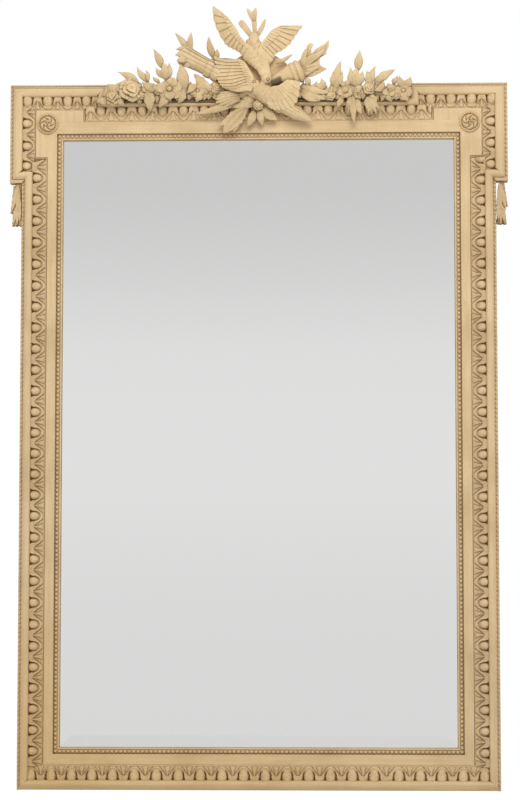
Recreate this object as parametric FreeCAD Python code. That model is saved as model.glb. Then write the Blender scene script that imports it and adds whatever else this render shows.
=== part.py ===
"""Carved wall mirror: eared frame, egg-and-dart moulding, husk drops and a crest of two doves.

Millimetres, +Z up, the front faces -Y and the wall is the plane y = 0. "Depth" is the
distance in front of the wall, so a point at depth d lies at y = -d. The origin is the
middle of the visible glass, brought back to the wall.
"""
import FreeCAD
import Part
import math
import os
from FreeCAD import Vector

# Visible glass
SIGHT_W = 880.0
SIGHT_H = 1360.0

# Widths of the frame's members, from the glass outwards
LIP_W = 6.0
BEAD_W = 10.5
FIELD_W = 21.0
TOP_FIELD_GAIN = 6.0
FILLET_W = 5.5
EGG_W = 29.0
EDGE_W = 17.5
RIM_W = 6.5

# Ears at the two upper corners
EAR_JOG = 27.0
EAR_LENGTH = 225.0

# Thicknesses that stack up from the wall
BOARD_T = 8.0
CARCASE_T = 18.0
RIM_T = 8.0
GROUND_T = 5.0
FILLET_T = 12.0
EDGE_T = 20.0
FIELD_T = 8.5
CHANNEL_T = 2.0
LIP_T = 4.5

# Glass
REBATE = 10.0
GLASS_T = 6.0
GLASS_PLAY = 1.0
BEVEL_W = 24.0
BEVEL_DROP = 2.0
LIP_HANG = 4.0
BLOCK_L = 70.0

# Carving of the outer moulding
EGG_PITCH = 46.5
EGG_R = 10.2
EGG_PLATE = 2.0
SHELL_T = 3.4
SHELL_H = 5.0
DART_H = 4.0
PEARL_R = 4.4
RIM_BEAD_R = 2.9

# Carcase joints and fixings
TENON_L = 45.0
TENON_T = 6.0
TENON_SHOULDER = 12.0
PEG_R = 4.0
BOARD_LAP = 14.0
BOARD_GAP = 0.5
SCREW_R = 2.0
SCREW_HEAD_R = 4.2
SCREW_HEAD_H = 2.4
SCREW_L = 20.0
SCREW_SINK = 0.4

# D-ring hangers
STRAP_W = 16.0
STRAP_T = 1.5
STRAP_L = 80.0
EYE_WALL = 1.5
RING_WIRE_R = 2.0
RING_PLAY = 0.05
RING_BAR = 30.0
RING_LEG = 8.0
RING_BEND = 5.0
RING_LIFT = 0.3
HANGER_Z = 0.40 * SIGHT_H
PAN_R = 3.8
PAN_H = 2.0

# Ornaments
ROSETTE_R = 21.0
ROSETTE_T = 9.0
DROP_R = 13.5
DROP_L = 98.0
LEAF_T = 8.0
STEM_R = 6.0

# Derived positions
MEMBER_W = LIP_W + BEAD_W + FIELD_W
OUTER_W = FILLET_W + EGG_W + EDGE_W + RIM_W
HALF_SIGHT_W = SIGHT_W / 2.0
HALF_SIGHT_H = SIGHT_H / 2.0
HALF_BODY = HALF_SIGHT_W + MEMBER_W + OUTER_W
BOTTOM = -(HALF_SIGHT_H + MEMBER_W + OUTER_W)
TOP = HALF_SIGHT_H + MEMBER_W + OUTER_W + TOP_FIELD_GAIN
EAR_X = HALF_BODY + EAR_JOG
EAR_TOP = TOP + EAR_JOG
EAR_FOOT = EAR_TOP - EAR_LENGTH
EAR_END = EAR_X - EAR_LENGTH
FACE = BOARD_T + CARCASE_T
FRONT = FACE + EDGE_T
RIM_FLOOR = FACE + RIM_T
GROUND = FACE + GROUND_T
FIELD_FACE = FACE + FIELD_T
CHANNEL = FACE + CHANNEL_T
LIP_BACK = FACE - LIP_HANG
EGG_OUT = RIM_W + EDGE_W
EGG_IN = EGG_OUT + EGG_W


def at(x, depth, z):
    """The point at x and z that lies a given depth in front of the wall."""
    return Vector(x, -depth, z)


def slab(points, near, far):
    """A flat-sided solid: an outline in the face plane between two depths."""
    loop = [at(x, near, z) for x, z in points]
    face = Part.Face(Part.makePolygon(loop + loop[:1]))
    return face.extrude(Vector(0, near - far, 0))


def block(x0, x1, z0, z1, near, far):
    """A rectangular slab."""
    return slab([(x0, z0), (x1, z0), (x1, z1), (x0, z1)], near, far)


def curved_wire(start, steps):
    """A closed wire of lines (one point), arcs (two points) and smooth curves (more points)."""
    edges = []
    here = start
    for step in steps:
        if len(step) > 2:
            curve = Part.BSplineCurve()
            curve.interpolate([here] + list(step))
            edges.append(curve.toShape())
        elif len(step) == 2:
            edges.append(Part.Arc(here, step[0], step[1]).toShape())
        else:
            edges.append(Part.LineSegment(here, step[0]).toShape())
        here = step[-1]
    return Part.Wire(edges)


def arc_slab(start, steps, near, far):
    """A slab whose outline in the face plane is made of lines and arcs."""
    lifted = [[at(x, near, z) for x, z in step] for step in steps]
    wire = curved_wire(at(start[0], near, start[1]), lifted)
    return Part.Face(wire).extrude(Vector(0, near - far, 0))


def rod(x, z, radius, near, far):
    """A round rod that runs from one depth to another."""
    return Part.makeCylinder(radius, far - near, at(x, near, z), Vector(0, -1, 0))


def mirrored(shape):
    """The same shape on the other side of the middle plane."""
    return shape.mirror(Vector(0, 0, 0), Vector(1, 0, 0))


def save(node, *solids):
    """Write one node; several solids become a group."""
    shape = solids[0] if len(solids) == 1 else Part.makeCompound(list(solids))
    shape.exportStep("parts/%s.step" % node)


def both_sides(name, shape):
    """Write a left-hand shape and its mirror image on the right."""
    save(name + "_left", shape)
    save(name + "_right", mirrored(shape))


class Run:
    """One straight length of moulding between two corners of a closed path.

    The path goes round anticlockwise seen from the front, so "across" points inwards.
    """

    def __init__(self, before, start, end, after):
        self.start = Vector(start[0], 0, start[1])
        self.end = Vector(end[0], 0, end[1])
        self.along = (self.end - self.start).normalize()
        self.across = self.turned(self.along)
        lead = Vector(start[0] - before[0], 0, start[1] - before[1]).normalize()
        trail = Vector(after[0] - end[0], 0, after[1] - end[1]).normalize()
        self.start_miter = self.across + self.turned(lead)
        self.end_miter = self.across + self.turned(trail)
        self.length = (self.end - self.start).Length

    @staticmethod
    def turned(way):
        """The direction a quarter turn to the left."""
        return Vector(-way.z, 0, way.x)

    def corner(self, width, at_end):
        """Where the line offset inwards by a width meets the miter."""
        if at_end:
            return self.end + self.end_miter * width
        return self.start + self.start_miter * width

    def miter_plan(self, near_w, far_w):
        """Outline of the length between two offsets, with its mitred ends."""
        loop = [self.corner(near_w, False), self.corner(near_w, True),
                self.corner(far_w, True), self.corner(far_w, False)]
        return [(p.x, p.z) for p in loop]

    def place(self, along, width, depth):
        """A point given by its distance along the run, its offset inwards and its depth."""
        return self.start + self.along * along + self.across * width + Vector(0, -depth, 0)

    def sweep(self, start, steps, near_w, far_w):
        """Drive a profile of (offset, depth) points along the run and miter both ends."""
        spare = abs(far_w) + abs(near_w) + EAR_JOG
        lifted = [[self.place(-spare, w, d) for w, d in step] for step in steps]
        wire = curved_wire(self.place(-spare, start[0], start[1]), lifted)
        bar = Part.Face(wire).extrude(self.along * (self.length + 2.0 * spare))
        trim = slab(self.miter_plan(near_w, far_w), 0.0, 2.0 * FRONT)
        return bar.common(trim).Solids[0]

    def frame_at(self, along, width, depth):
        """Placement that sends local x along the run, y inwards and z towards the viewer."""
        a = self.along
        b = self.across
        p = self.place(along, width, depth)
        return FreeCAD.Placement(FreeCAD.Matrix(
            a.x, b.x, 0, p.x,
            a.y, b.y, -1, p.y,
            a.z, b.z, 0, p.z,
            0, 0, 0, 1))


def closed_runs(corners):
    """All the runs of a closed path."""
    count = len(corners)
    return [Run(corners[i - 1], corners[i], corners[(i + 1) % count], corners[(i + 2) % count])
            for i in range(count)]


def outer_runs():
    """The eared path of the frame's outer edge, by name."""
    right = [(HALF_BODY, BOTTOM), (HALF_BODY, EAR_FOOT), (EAR_X, EAR_FOOT), (EAR_X, EAR_TOP),
             (EAR_END, EAR_TOP), (EAR_END, TOP)]
    left = [(-x, z) for x, z in reversed(right)]
    names = ["right", "foot_right", "ear_side_right", "ear_top_right", "end_right", "top",
             "end_left", "ear_top_left", "ear_side_left", "foot_left", "left", "bottom"]
    return dict(zip(names, closed_runs(right + left)))


def cornice(run, plain_rim):
    """Outer moulding: rim, rounded edge, channel for the egg strip, and fillet."""
    fillet = EGG_IN + FILLET_W
    edge_side = FRONT - 0.2 * EDGE_T
    rim = RIM_FLOOR + (RIM_BEAD_R if plain_rim else 0.0)
    steps = [
        [(0.0, rim)],
        [(RIM_W, rim)],
        [(RIM_W, edge_side)],
        [(RIM_W + 0.5 * EDGE_W, FRONT), (EGG_OUT, edge_side)],
        [(EGG_OUT, GROUND)],
        [(EGG_IN, GROUND)],
        [(EGG_IN, FACE + 0.8 * FILLET_T)],
        [(EGG_IN + 0.5 * FILLET_W, FACE + FILLET_T), (fillet, FACE + 0.8 * FILLET_T)],
        [(fillet, FACE)],
        [(0.0, FACE)],
    ]
    return run.sweep((0.0, FACE), steps, 0.0, fillet)


def half_round(run, offset, floor, radius, near_w, far_w):
    """A half-round rod laid on a flat floor along the run."""
    steps = [
        [(offset, floor + radius), (offset + radius, floor)],
        [(offset - radius, floor)],
    ]
    return run.sweep((offset - radius, floor), steps, near_w, far_w)


def egg_cell(pitch):
    """One repeat of the egg and dart: plate, half egg in its shell, and half a dart at each end."""
    half = pitch / 2.0
    shell = 0.69 * half
    inside = shell - SHELL_T
    turn = 0.42 * EGG_W
    top = EGG_PLATE
    plate = Part.makeBox(pitch, EGG_W, EGG_PLATE, Vector(-half, 0, 0))
    outline = curved_wire(Vector(0, 0.06 * EGG_W, top), [
        [Vector(0.86 * EGG_R, 0.06 * EGG_W, top)],
        [Vector(EGG_R, 0.32 * EGG_W, top), Vector(0.82 * EGG_R, 0.62 * EGG_W, top),
         Vector(0.48 * EGG_R, 0.8 * EGG_W, top), Vector(0, 0.88 * EGG_W, top)],
        [Vector(0, 0.06 * EGG_W, top)],
    ])
    egg = Part.Face(outline).revolve(Vector(0, 0, top), Vector(0, -1, 0), 180)
    cup = curved_wire(Vector(-shell, 0, top), [
        [Vector(-shell, turn, top)],
        [Vector(0, 0.98 * EGG_W, top), Vector(shell, turn, top)],
        [Vector(shell, 0, top)],
        [Vector(inside, 0, top)],
        [Vector(inside, turn, top)],
        [Vector(0, 0.98 * EGG_W - 0.7 * SHELL_T, top), Vector(-inside, turn, top)],
        [Vector(-inside, 0, top)],
        [Vector(-shell, 0, top)],
    ])
    rim = Part.Face(cup).extrude(Vector(0, 0, SHELL_H))
    stem = 0.15 * half
    foot = 0.34 * half
    darts = []
    for side in (-1, 1):
        loop = [Vector(side * x, y, top) for x, y in
                ((half, 0), (half - stem, 0), (half - stem, turn), (half - foot, EGG_W), (half, EGG_W))]
        darts.append(Part.Face(Part.makePolygon(loop + loop[:1])).extrude(Vector(0, 0, DART_H)))
    return plate.multiFuse([egg, rim] + darts)


def egg_strip(run, first, last):
    """A carved strip between two places along a run, with a whole number of repeats."""
    length = last - first
    count = max(2, int(round(length / EGG_PITCH)))
    pitch = length / count
    cell = egg_cell(pitch)
    cells = []
    for i in range(count):
        piece = cell.copy()
        piece.translate(Vector((i + 0.5) * pitch, 0, 0))
        cells.append(piece)
    strip = cells[0].multiFuse(cells[1:]).removeSplitter().Solids[0]
    strip.Placement = run.frame_at(first, EGG_OUT, GROUND)
    return strip


def build_carcase():
    """Stiles, rails, ear blocks and the pegs of the corner joints."""
    inner_x = HALF_SIGHT_W + REBATE
    inner_z = HALF_SIGHT_H + REBATE
    middle = BOARD_T + CARCASE_T / 2.0
    tenon = (middle - TENON_T / 2.0, middle + TENON_T / 2.0)
    stile = block(-HALF_BODY, -inner_x, BOTTOM, TOP, BOARD_T, FACE)
    pegs = []
    for node, low, high in (("rail_top", inner_z, TOP), ("rail_bottom", BOTTOM, -inner_z)):
        rail = block(-inner_x, inner_x, low, high, BOARD_T, FACE)
        reach = inner_x + TENON_L
        foot = low + TENON_SHOULDER
        head = high - TENON_SHOULDER
        rail = rail.fuse(block(-reach, reach, foot, head, tenon[0], tenon[1])).removeSplitter()
        stile = stile.cut(block(-reach, -inner_x, foot, head, tenon[0], tenon[1]))
        for share in (0.3, 0.7):
            peg_x = inner_x + TENON_L / 2.0
            peg_z = foot + share * (head - foot)
            for side in (-1, 1):
                peg = rod(side * peg_x, peg_z, PEG_R, BOARD_T, FACE)
                rail = rail.cut(peg)
                pegs.append(peg)
            stile = stile.cut(rod(-peg_x, peg_z, PEG_R, BOARD_T, FACE))
        for x, z in board_screw_places():
            if low < z < high:
                rail = rail.cut(board_screw(x, z))
        save(node, rail)
    for x, z in board_screw_places():
        if x < -inner_x:
            stile = stile.cut(board_screw(x, z))
    for x, z in strap_screw_places():
        stile = stile.cut(strap_screw(x, z))
    both_sides("stile", stile)
    side_block = block(-EAR_X, -HALF_BODY, EAR_FOOT, EAR_TOP, BOARD_T, FACE)
    top_block = block(-HALF_BODY, -EAR_END, TOP, EAR_TOP, BOARD_T, FACE)
    both_sides("ear_blocks", Part.makeCompound([side_block, top_block]))
    save("frame_pegs", *pegs)


def build_inner_members():
    """Plain field mouldings with the sight lip, the pearl strings and the corner fields."""
    w = HALF_SIGHT_W
    h = HALF_SIGHT_H
    runs = closed_runs([(-w, -h), (w, -h), (w, h), (-w, h)])
    channel_end = -(LIP_W + BEAD_W)
    for run, side in zip(runs, ("bottom", "right", "top", "left")):
        width = MEMBER_W + (TOP_FIELD_GAIN if side == "top" else 0.0)
        steps = [
            [(0.0, FACE + 0.7 * LIP_T)],
            [(-0.1 * LIP_W, FACE + LIP_T), (-0.35 * LIP_W, FACE + LIP_T)],
            [(-LIP_W, FACE + LIP_T)],
            [(-LIP_W, CHANNEL)],
            [(channel_end, CHANNEL)],
            [(channel_end, FIELD_FACE)],
            [(-width, FIELD_FACE)],
            [(-width, FACE)],
            [(-REBATE, FACE)],
            [(-REBATE, LIP_BACK)],
            [(0.0, LIP_BACK)],
        ]
        piece = run.sweep((0.0, LIP_BACK), steps, 0.0, -MEMBER_W)
        if side == "top":
            strip = block(-w - MEMBER_W, w + MEMBER_W, h + MEMBER_W, h + width, FACE, FIELD_FACE)
            piece = piece.fuse(strip).removeSplitter()
        save("field_" + side, piece)
        middle = -(LIP_W + BEAD_W / 2.0)
        pearls = half_round(run, middle, CHANNEL, PEARL_R, middle + PEARL_R, middle - PEARL_R)
        save("pearls_" + side, pearls)
    inner_x = w + MEMBER_W
    inner_z = h + MEMBER_W + TOP_FIELD_GAIN
    corner = slab([
        (-inner_x - EAR_JOG, EAR_FOOT + OUTER_W),
        (-inner_x, EAR_FOOT + OUTER_W),
        (-inner_x, inner_z),
        (-EAR_END - OUTER_W, inner_z),
        (-EAR_END - OUTER_W, inner_z + EAR_JOG),
        (-inner_x - EAR_JOG, inner_z + EAR_JOG),
    ], FACE, FIELD_FACE)
    both_sides("corner_field", corner)


def build_outer_members():
    """Outer moulding, its egg-and-dart strips and the beads on its rim."""
    runs = outer_runs()
    for name in ("right", "left", "top", "ear_side_right", "ear_side_left",
                 "ear_top_right", "ear_top_left"):
        save("cornice_" + name, cornice(runs[name], False))
    save("cornice_bottom", cornice(runs["bottom"], True))
    beads = {}
    for name, run in runs.items():
        if name != "bottom":
            beads[name] = half_round(run, RIM_W / 2.0, RIM_FLOOR, RIM_BEAD_R, 0.0, RIM_W)
    for side in ("left", "right"):
        save("cornice_returns_" + side,
             cornice(runs["foot_" + side], False), cornice(runs["end_" + side], False))
        save("rim_beads_" + side, beads[side], beads["foot_" + side], beads["ear_side_" + side])
        side_run = runs["ear_side_" + side]
        top_run = runs["ear_top_" + side]
        reach = side_run.length
        if side == "left":
            side_strip = egg_strip(side_run, EGG_IN, reach - EGG_OUT)
            top_strip = egg_strip(top_run, EGG_OUT, top_run.length - EGG_OUT)
            low_strip = egg_strip(runs[side], -EGG_OUT, runs[side].length - EGG_IN)
        else:
            side_strip = egg_strip(side_run, EGG_OUT, reach - EGG_IN)
            top_strip = egg_strip(top_run, EGG_OUT, top_run.length - EGG_OUT)
            low_strip = egg_strip(runs[side], EGG_IN, runs[side].length + EGG_OUT)
        save("egg_dart_ear_" + side, side_strip, top_strip)
        save("egg_dart_" + side, low_strip)
    top = runs["top"]
    save("egg_dart_top", egg_strip(top, -EGG_OUT, top.length + EGG_OUT))
    bottom = runs["bottom"]
    save("egg_dart_bottom", egg_strip(bottom, EGG_OUT, bottom.length - EGG_OUT))
    save("rim_beads_top", beads["top"], beads["end_left"], beads["end_right"],
         beads["ear_top_left"], beads["ear_top_right"])


def build_glass():
    """Bevelled mirror glass held against the lip by blocks glued behind it."""
    half_w = HALF_SIGHT_W + REBATE - GLASS_PLAY
    half_h = HALF_SIGHT_H + REBATE - GLASS_PLAY
    slope = BEVEL_DROP / (BEVEL_W + REBATE - GLASS_PLAY)
    front = LIP_BACK + slope * BEVEL_W
    back = front - GLASS_T
    edge = front - BEVEL_DROP
    inset = BEVEL_W + REBATE - GLASS_PLAY
    wires = []
    for shrink, depth in ((0.0, edge), (inset, front)):
        x = half_w - shrink
        z = half_h - shrink
        loop = [at(-x, depth, -z), at(x, depth, -z), at(x, depth, z), at(-x, depth, z)]
        wires.append(Part.makePolygon(loop + loop[:1]))
    bevel = Part.makeLoft(wires, True, True)
    pane = block(-half_w, half_w, -half_h, half_h, back, edge)
    save("mirror_glass", pane.fuse(bevel).removeSplitter())
    blocks = []
    wall_x = HALF_SIGHT_W + REBATE
    wall_z = HALF_SIGHT_H + REBATE
    reach = back - BOARD_T
    for share in (-0.62, 0.0, 0.62):
        middle = share * wall_z
        for side in (-1, 1):
            loop = [Vector(side * wall_x, -back, middle - BLOCK_L / 2.0),
                    Vector(side * (wall_x - reach), -back, middle - BLOCK_L / 2.0),
                    Vector(side * wall_x, -BOARD_T, middle - BLOCK_L / 2.0)]
            wedge = Part.Face(Part.makePolygon(loop + loop[:1]))
            blocks.append(wedge.extrude(Vector(0, 0, BLOCK_L)))
    for share in (-0.5, 0.5):
        middle = share * wall_x
        for side in (-1, 1):
            loop = [Vector(middle - BLOCK_L / 2.0, -back, side * wall_z),
                    Vector(middle - BLOCK_L / 2.0, -back, side * (wall_z - reach)),
                    Vector(middle - BLOCK_L / 2.0, -BOARD_T, side * wall_z)]
            wedge = Part.Face(Part.makePolygon(loop + loop[:1]))
            blocks.append(wedge.extrude(Vector(BLOCK_L, 0, 0)))
    save("glass_blocks", *blocks)


def board_limits():
    """Half width of the back boards and the heights of their edges."""
    half_w = HALF_SIGHT_W + REBATE + BOARD_LAP
    half_h = HALF_SIGHT_H + REBATE + BOARD_LAP
    third = 2.0 * half_h / 3.0
    return half_w, [-half_h, -half_h + third, half_h - third, half_h]


def board_screw_places():
    """Two screws at each end of every board, and three along the top and the bottom edge."""
    half_w, edges = board_limits()
    inset = BOARD_LAP / 2.0
    places = []
    for low, high in zip(edges, edges[1:]):
        for share in (0.2, 0.8):
            for side in (-1, 1):
                places.append((side * (half_w - inset), low + share * (high - low)))
    for x in (-0.5 * half_w, 0.0, 0.5 * half_w):
        places.append((x, edges[-1] - inset))
        places.append((x, edges[0] + inset))
    return places


def board_screw(x, z):
    """A countersunk wood screw driven from the back."""
    head = Part.makeCone(SCREW_HEAD_R, SCREW_R, SCREW_HEAD_H, at(x, SCREW_SINK, z), Vector(0, -1, 0))
    shank = rod(x, z, SCREW_R, SCREW_SINK + SCREW_HEAD_H, SCREW_L)
    return head.fuse(shank)


def build_back():
    """Three back boards with their screws."""
    half_w, edges = board_limits()
    screws = [(x, z, board_screw(x, z)) for x, z in board_screw_places()]
    names = ("back_board_lower", "back_board_middle", "back_board_upper")
    for name, low, high in zip(names, edges, edges[1:]):
        foot = low + (BOARD_GAP / 2.0 if low > edges[0] else 0.0)
        head = high - (BOARD_GAP / 2.0 if high < edges[-1] else 0.0)
        board = block(-half_w, half_w, foot, head, 0.0, BOARD_T)
        for x, z, screw in screws:
            if low < z < high:
                board = board.cut(screw).cut(rod(x, z, SCREW_HEAD_R, 0.0, SCREW_SINK))
        save(name, board)
    save("back_screws", *[screw for x, z, screw in screws])


def hanger_x():
    """Middle of the strip of stile left free beside the back boards."""
    return -(HALF_BODY + HALF_SIGHT_W + REBATE + BOARD_LAP) / 2.0


def eye_radius():
    """Outer radius of the rolled eye."""
    return RING_WIRE_R + RING_PLAY + EYE_WALL


def ring_depth():
    """Depth of the ring's axis: the ring hangs just clear of the strap."""
    return BOARD_T - STRAP_T - RING_LIFT - RING_WIRE_R


def strap_screw_places():
    """Three screws down the strap, below the hanging ring."""
    low = HANGER_Z - STRAP_L
    high = HANGER_Z - RING_LEG - 2.0 * RING_BEND - RING_BAR / 2.0
    step = (high - low) / 3.0
    return [(hanger_x(), low + (i + 0.5) * step) for i in range(3)]


def strap_screw(x, z):
    """A pan-head screw through the strap."""
    seat = BOARD_T - STRAP_T
    head = rod(x, z, PAN_R, seat - PAN_H, seat)
    return head.fuse(rod(x, z, SCREW_R, seat, BOARD_T + 0.7 * CARCASE_T)).removeSplitter()


def build_hangers():
    """Strap, screws and the D ring that swings in the strap's rolled eye."""
    x = hanger_x()
    z = HANGER_Z
    depth = ring_depth()
    half = STRAP_W / 2.0
    radius = eye_radius()
    pin = Vector(1, 0, 0)
    plate = block(x - half, x + half, z - STRAP_L, z, BOARD_T - STRAP_T, BOARD_T)
    eye = Part.makeCylinder(radius, STRAP_W, at(x - half, depth, z), pin)
    bore = Part.makeCylinder(RING_WIRE_R + RING_PLAY, STRAP_W, at(x - half, depth, z), pin)
    behind = block(x - STRAP_W, x + STRAP_W, z - STRAP_W, z + STRAP_W, BOARD_T, 2.0 * BOARD_T)
    strap = plate.fuse(eye).cut(bore).cut(behind).removeSplitter()
    screws = [strap_screw(sx, sz) for sx, sz in strap_screw_places()]
    for screw in screws:
        strap = strap.cut(screw)
    save("hanger_straps", strap.Solids[0], mirrored(strap.Solids[0]))
    save("hanger_screws", *(screws + [mirrored(screw) for screw in screws]))
    side = RING_BAR / 2.0
    bend = RING_BEND
    cut = bend * (1.0 - math.sqrt(0.5))
    knee = z - bend - RING_LEG
    path = curved_wire(at(x - side + bend, depth, z), [
        [at(x + side - bend, depth, z)],
        [at(x + side - cut, depth, z - cut), at(x + side, depth, z - bend)],
        [at(x + side, depth, knee)],
        [at(x, depth, knee - side), at(x - side, depth, knee)],
        [at(x - side, depth, z - bend)],
        [at(x - side + cut, depth, z - cut), at(x - side + bend, depth, z)],
    ])
    section = Part.Wire(Part.makeCircle(RING_WIRE_R, at(x - side + bend, depth, z), pin))
    ring = path.makePipeShell([section], True, True)
    both_sides("hanger_ring", ring)


def lobed(x, z, radius, waist, lobes, turn, near, far):
    """A flower-shaped slab: arcs that swell out between points on a smaller circle."""
    def point(share, r):
        angle = turn + 2.0 * math.pi * share / lobes
        return x + r * math.cos(angle), z + r * math.sin(angle)
    steps = [[point(i + 0.5, radius), point(i + 1, waist)] for i in range(lobes)]
    return arc_slab(point(0, waist), steps, near, far)


def flower(x, z, radius, near, lobes):
    """A carved flower: two tiers of petals turned against each other and a round heart."""
    turn = 0.37 * (x + z)
    low = near + 0.45 * radius
    high = near + 0.75 * radius
    outer = lobed(x, z, radius, 0.72 * radius, lobes, turn, near, low)
    inner = lobed(x, z, 0.66 * radius, 0.48 * radius, lobes, turn + math.pi / lobes, low, high)
    heart = Part.makeSphere(0.34 * radius, at(x, high, z))
    return outer.multiFuse([inner, heart])


def leaf(tail, tip, width, near, thick):
    """A carved leaf: a pointed outline with a ridge along its midrib."""
    length = math.hypot(tip[0] - tail[0], tip[1] - tail[1])
    half = width / 2.0
    outline = curved_wire(Vector(0, 0, 0), [
        [Vector(0.45 * length, half, 0), Vector(length, 0, 0)],
        [Vector(0.45 * length, -half, 0), Vector(0, 0, 0)],
    ])
    blade = Part.Face(outline).extrude(Vector(0, 0, thick))
    loop = [Vector(-1, -half, 0), Vector(-1, half, 0), Vector(-1, half, 0.45 * thick),
            Vector(-1, 0, thick), Vector(-1, -half, 0.45 * thick)]
    roof = Part.Face(Part.makePolygon(loop + loop[:1])).extrude(Vector(length + 2.0, 0, 0))
    way = Vector(tip[0] - tail[0], 0, tip[1] - tail[1]).normalize()
    carved = blade.common(roof)
    carved.Placement = FreeCAD.Placement(FreeCAD.Matrix(
        way.x, -way.z, 0, tail[0],
        0, 0, -1, -near,
        way.z, way.x, 0, tail[1],
        0, 0, 0, 1))
    return carved.Solids[0]


def build_rosettes():
    """Round rosettes in the corner fields: a moulded ring round eight petals."""
    x = -(HALF_SIGHT_W + LIP_W + BEAD_W + (FIELD_W + EAR_JOG) / 2.0)
    z = HALF_SIGHT_H + LIP_W + BEAD_W + (FIELD_W + TOP_FIELD_GAIN + EAR_JOG) / 2.0
    r = ROSETTE_R
    floor = FIELD_FACE
    outline = curved_wire(at(x, floor, z), [
        [at(x + r, floor, z)],
        [at(x + r, floor + 0.3 * ROSETTE_T, z)],
        [at(x + 0.9 * r, floor + 0.62 * ROSETTE_T, z), at(x + 0.8 * r, floor + 0.3 * ROSETTE_T, z)],
        [at(x, floor + 0.3 * ROSETTE_T, z)],
        [at(x, floor, z)],
    ])
    dish = Part.Face(outline).revolve(at(x, floor, z), Vector(0, 1, 0), 360)
    bed = floor + 0.3 * ROSETTE_T
    petals = lobed(x, z, 0.76 * r, 0.58 * r, 8, 0.0, bed, floor + 0.62 * ROSETTE_T)
    inner = lobed(x, z, 0.5 * r, 0.38 * r, 8, math.pi / 8.0, floor + 0.62 * ROSETTE_T,
                  floor + 0.86 * ROSETTE_T)
    heart = Part.makeSphere(0.24 * r, at(x, floor + 0.78 * ROSETTE_T, z))
    rosette = dish.multiFuse([petals, inner, heart]).removeSplitter().Solids[0]
    save("rosettes", rosette, mirrored(rosette))


def build_drops():
    """Two-tier husk drops that hang under the ears against the side of the frame."""
    x = -(HALF_BODY + EAR_JOG / 2.0)
    depth = FACE - 2.0
    top = EAR_FOOT
    r = DROP_R

    def bell(low, high, wide):
        tall = high - low
        outline = curved_wire(at(x, depth, high), [
            [at(x + 0.34 * wide, depth, high)],
            [at(x + 0.66 * wide, depth, high - 0.2 * tall), at(x + 0.84 * wide, depth, high - 0.5 * tall),
             at(x + wide, depth, low + 0.12 * tall)],
            [at(x + 0.78 * wide, depth, low)],
            [at(x, depth, low + 0.2 * tall)],
            [at(x, depth, high)],
        ])
        return Part.Face(outline).revolve(at(x, depth, top), Vector(0, 0, 1), 360)

    upper = bell(top - 0.45 * DROP_L, top, r)
    lower = bell(top - 0.82 * DROP_L, top - 0.3 * DROP_L, 0.82 * r)
    bud_top = top - 0.66 * DROP_L
    bud_end = top - DROP_L
    bud = Part.makeCone(0.5 * r, 0.12 * r, bud_top - bud_end, at(x, depth, bud_top), Vector(0, 0, -1))
    drop = upper.multiFuse([lower, bud])
    for i in range(6):
        angle = math.pi * (i + 0.5) / 3.0
        way = Vector(math.cos(angle), math.sin(angle), 0)
        side = Vector(-way.y, way.x, 0)
        for low, tall in ((top - 0.46 * DROP_L, 0.16 * DROP_L), (top - 0.83 * DROP_L, 0.14 * DROP_L)):
            mid = at(x, depth, low) + way * 0.3 * r
            loop = [mid + side * 0.22 * r, mid + Vector(0, 0, tall), mid - side * 0.22 * r]
            notch = Part.Face(Part.makePolygon(loop + loop[:1])).extrude(way * r)
            drop = drop.cut(notch)
    drop = drop.cut(block(-HALF_BODY, 0.0, top - 2.0 * DROP_L, top, 0.0, 2.0 * FRONT))
    save("husk_drops", drop.Solids[0], mirrored(drop.Solids[0]))


# The crest is drawn about the middle of the frame's top edge: x sideways, z up.
# Leaves: tail, tip, width and how far their back stands in front of the frame.
LEFT_LEAVES = (
    ((-272, 30), (-316, 54), 16, 3), ((-247, 30), (-272, 68), 12, 0), ((-206, 14), (-236, 44), 10, 2),
    ((-250, 10), (-245, -36), 21, 0), ((-204, 30), (-236, 106), 15, 0), ((-206, 30), (-231, 64), 11, 4),
    ((-201, 28), (-200, 77), 10, 3), ((-160, -4), (-176, 78), 28, 0), ((-112, 4), (-143, 50), 19, 3),
    ((-196, 4), (-222, -42), 23, 0), ((-163, 6), (-173, -22), 13, 2), ((-160, -4), (-120, 26), 13, 5),
    ((-318, 4), (-350, 30), 15, 2), ((-300, 2), (-311, -32), 14, 0),
)
LEFT_FLOWERS = ((-352, -4, 9, 5), (-327, 2, 20, 6), (-294, 16, 22, 5), (-268, 10, 12, 5),
                (-250, 24, 13, 6), (-199, 12, 25, 5), (-88, 16, 15, 5))
RIGHT_LEAVES = (
    ((92, 6), (150, -14), 30, 0), ((104, 2), (151, 38), 15, 3), ((164, 2), (188, 75), 28, 0),
    ((221, -4), (230, 102), 19, 0), ((218, 12), (206, 60), 13, 3), ((228, 12), (237, 53), 11, 3),
    ((254, 10), (266, 63), 12, 0), ((252, 10), (245, 54), 11, 3), ((262, 14), (308, 56), 17, 2),
    ((210, 0), (221, -53), 34, 0), ((252, 0), (264, -48), 23, 0), ((340, 4), (397, -18), 17, 0),
    ((318, 2), (325, -36), 18, 2),
)
RIGHT_FLOWERS = ((331, 18, 20, 5), (294, 8, 17, 6), (258, 12, 19, 6), (198, 2, 17, 6),
                 (164, -3, 10, 5))
QUIVER = ((-175, 104), (124, -59))
TORCH = ((-168, -41), (94, 56))


def crest_at(x, z):
    """Turn a crest position into one in the frame."""
    return x, TOP + z


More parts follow.
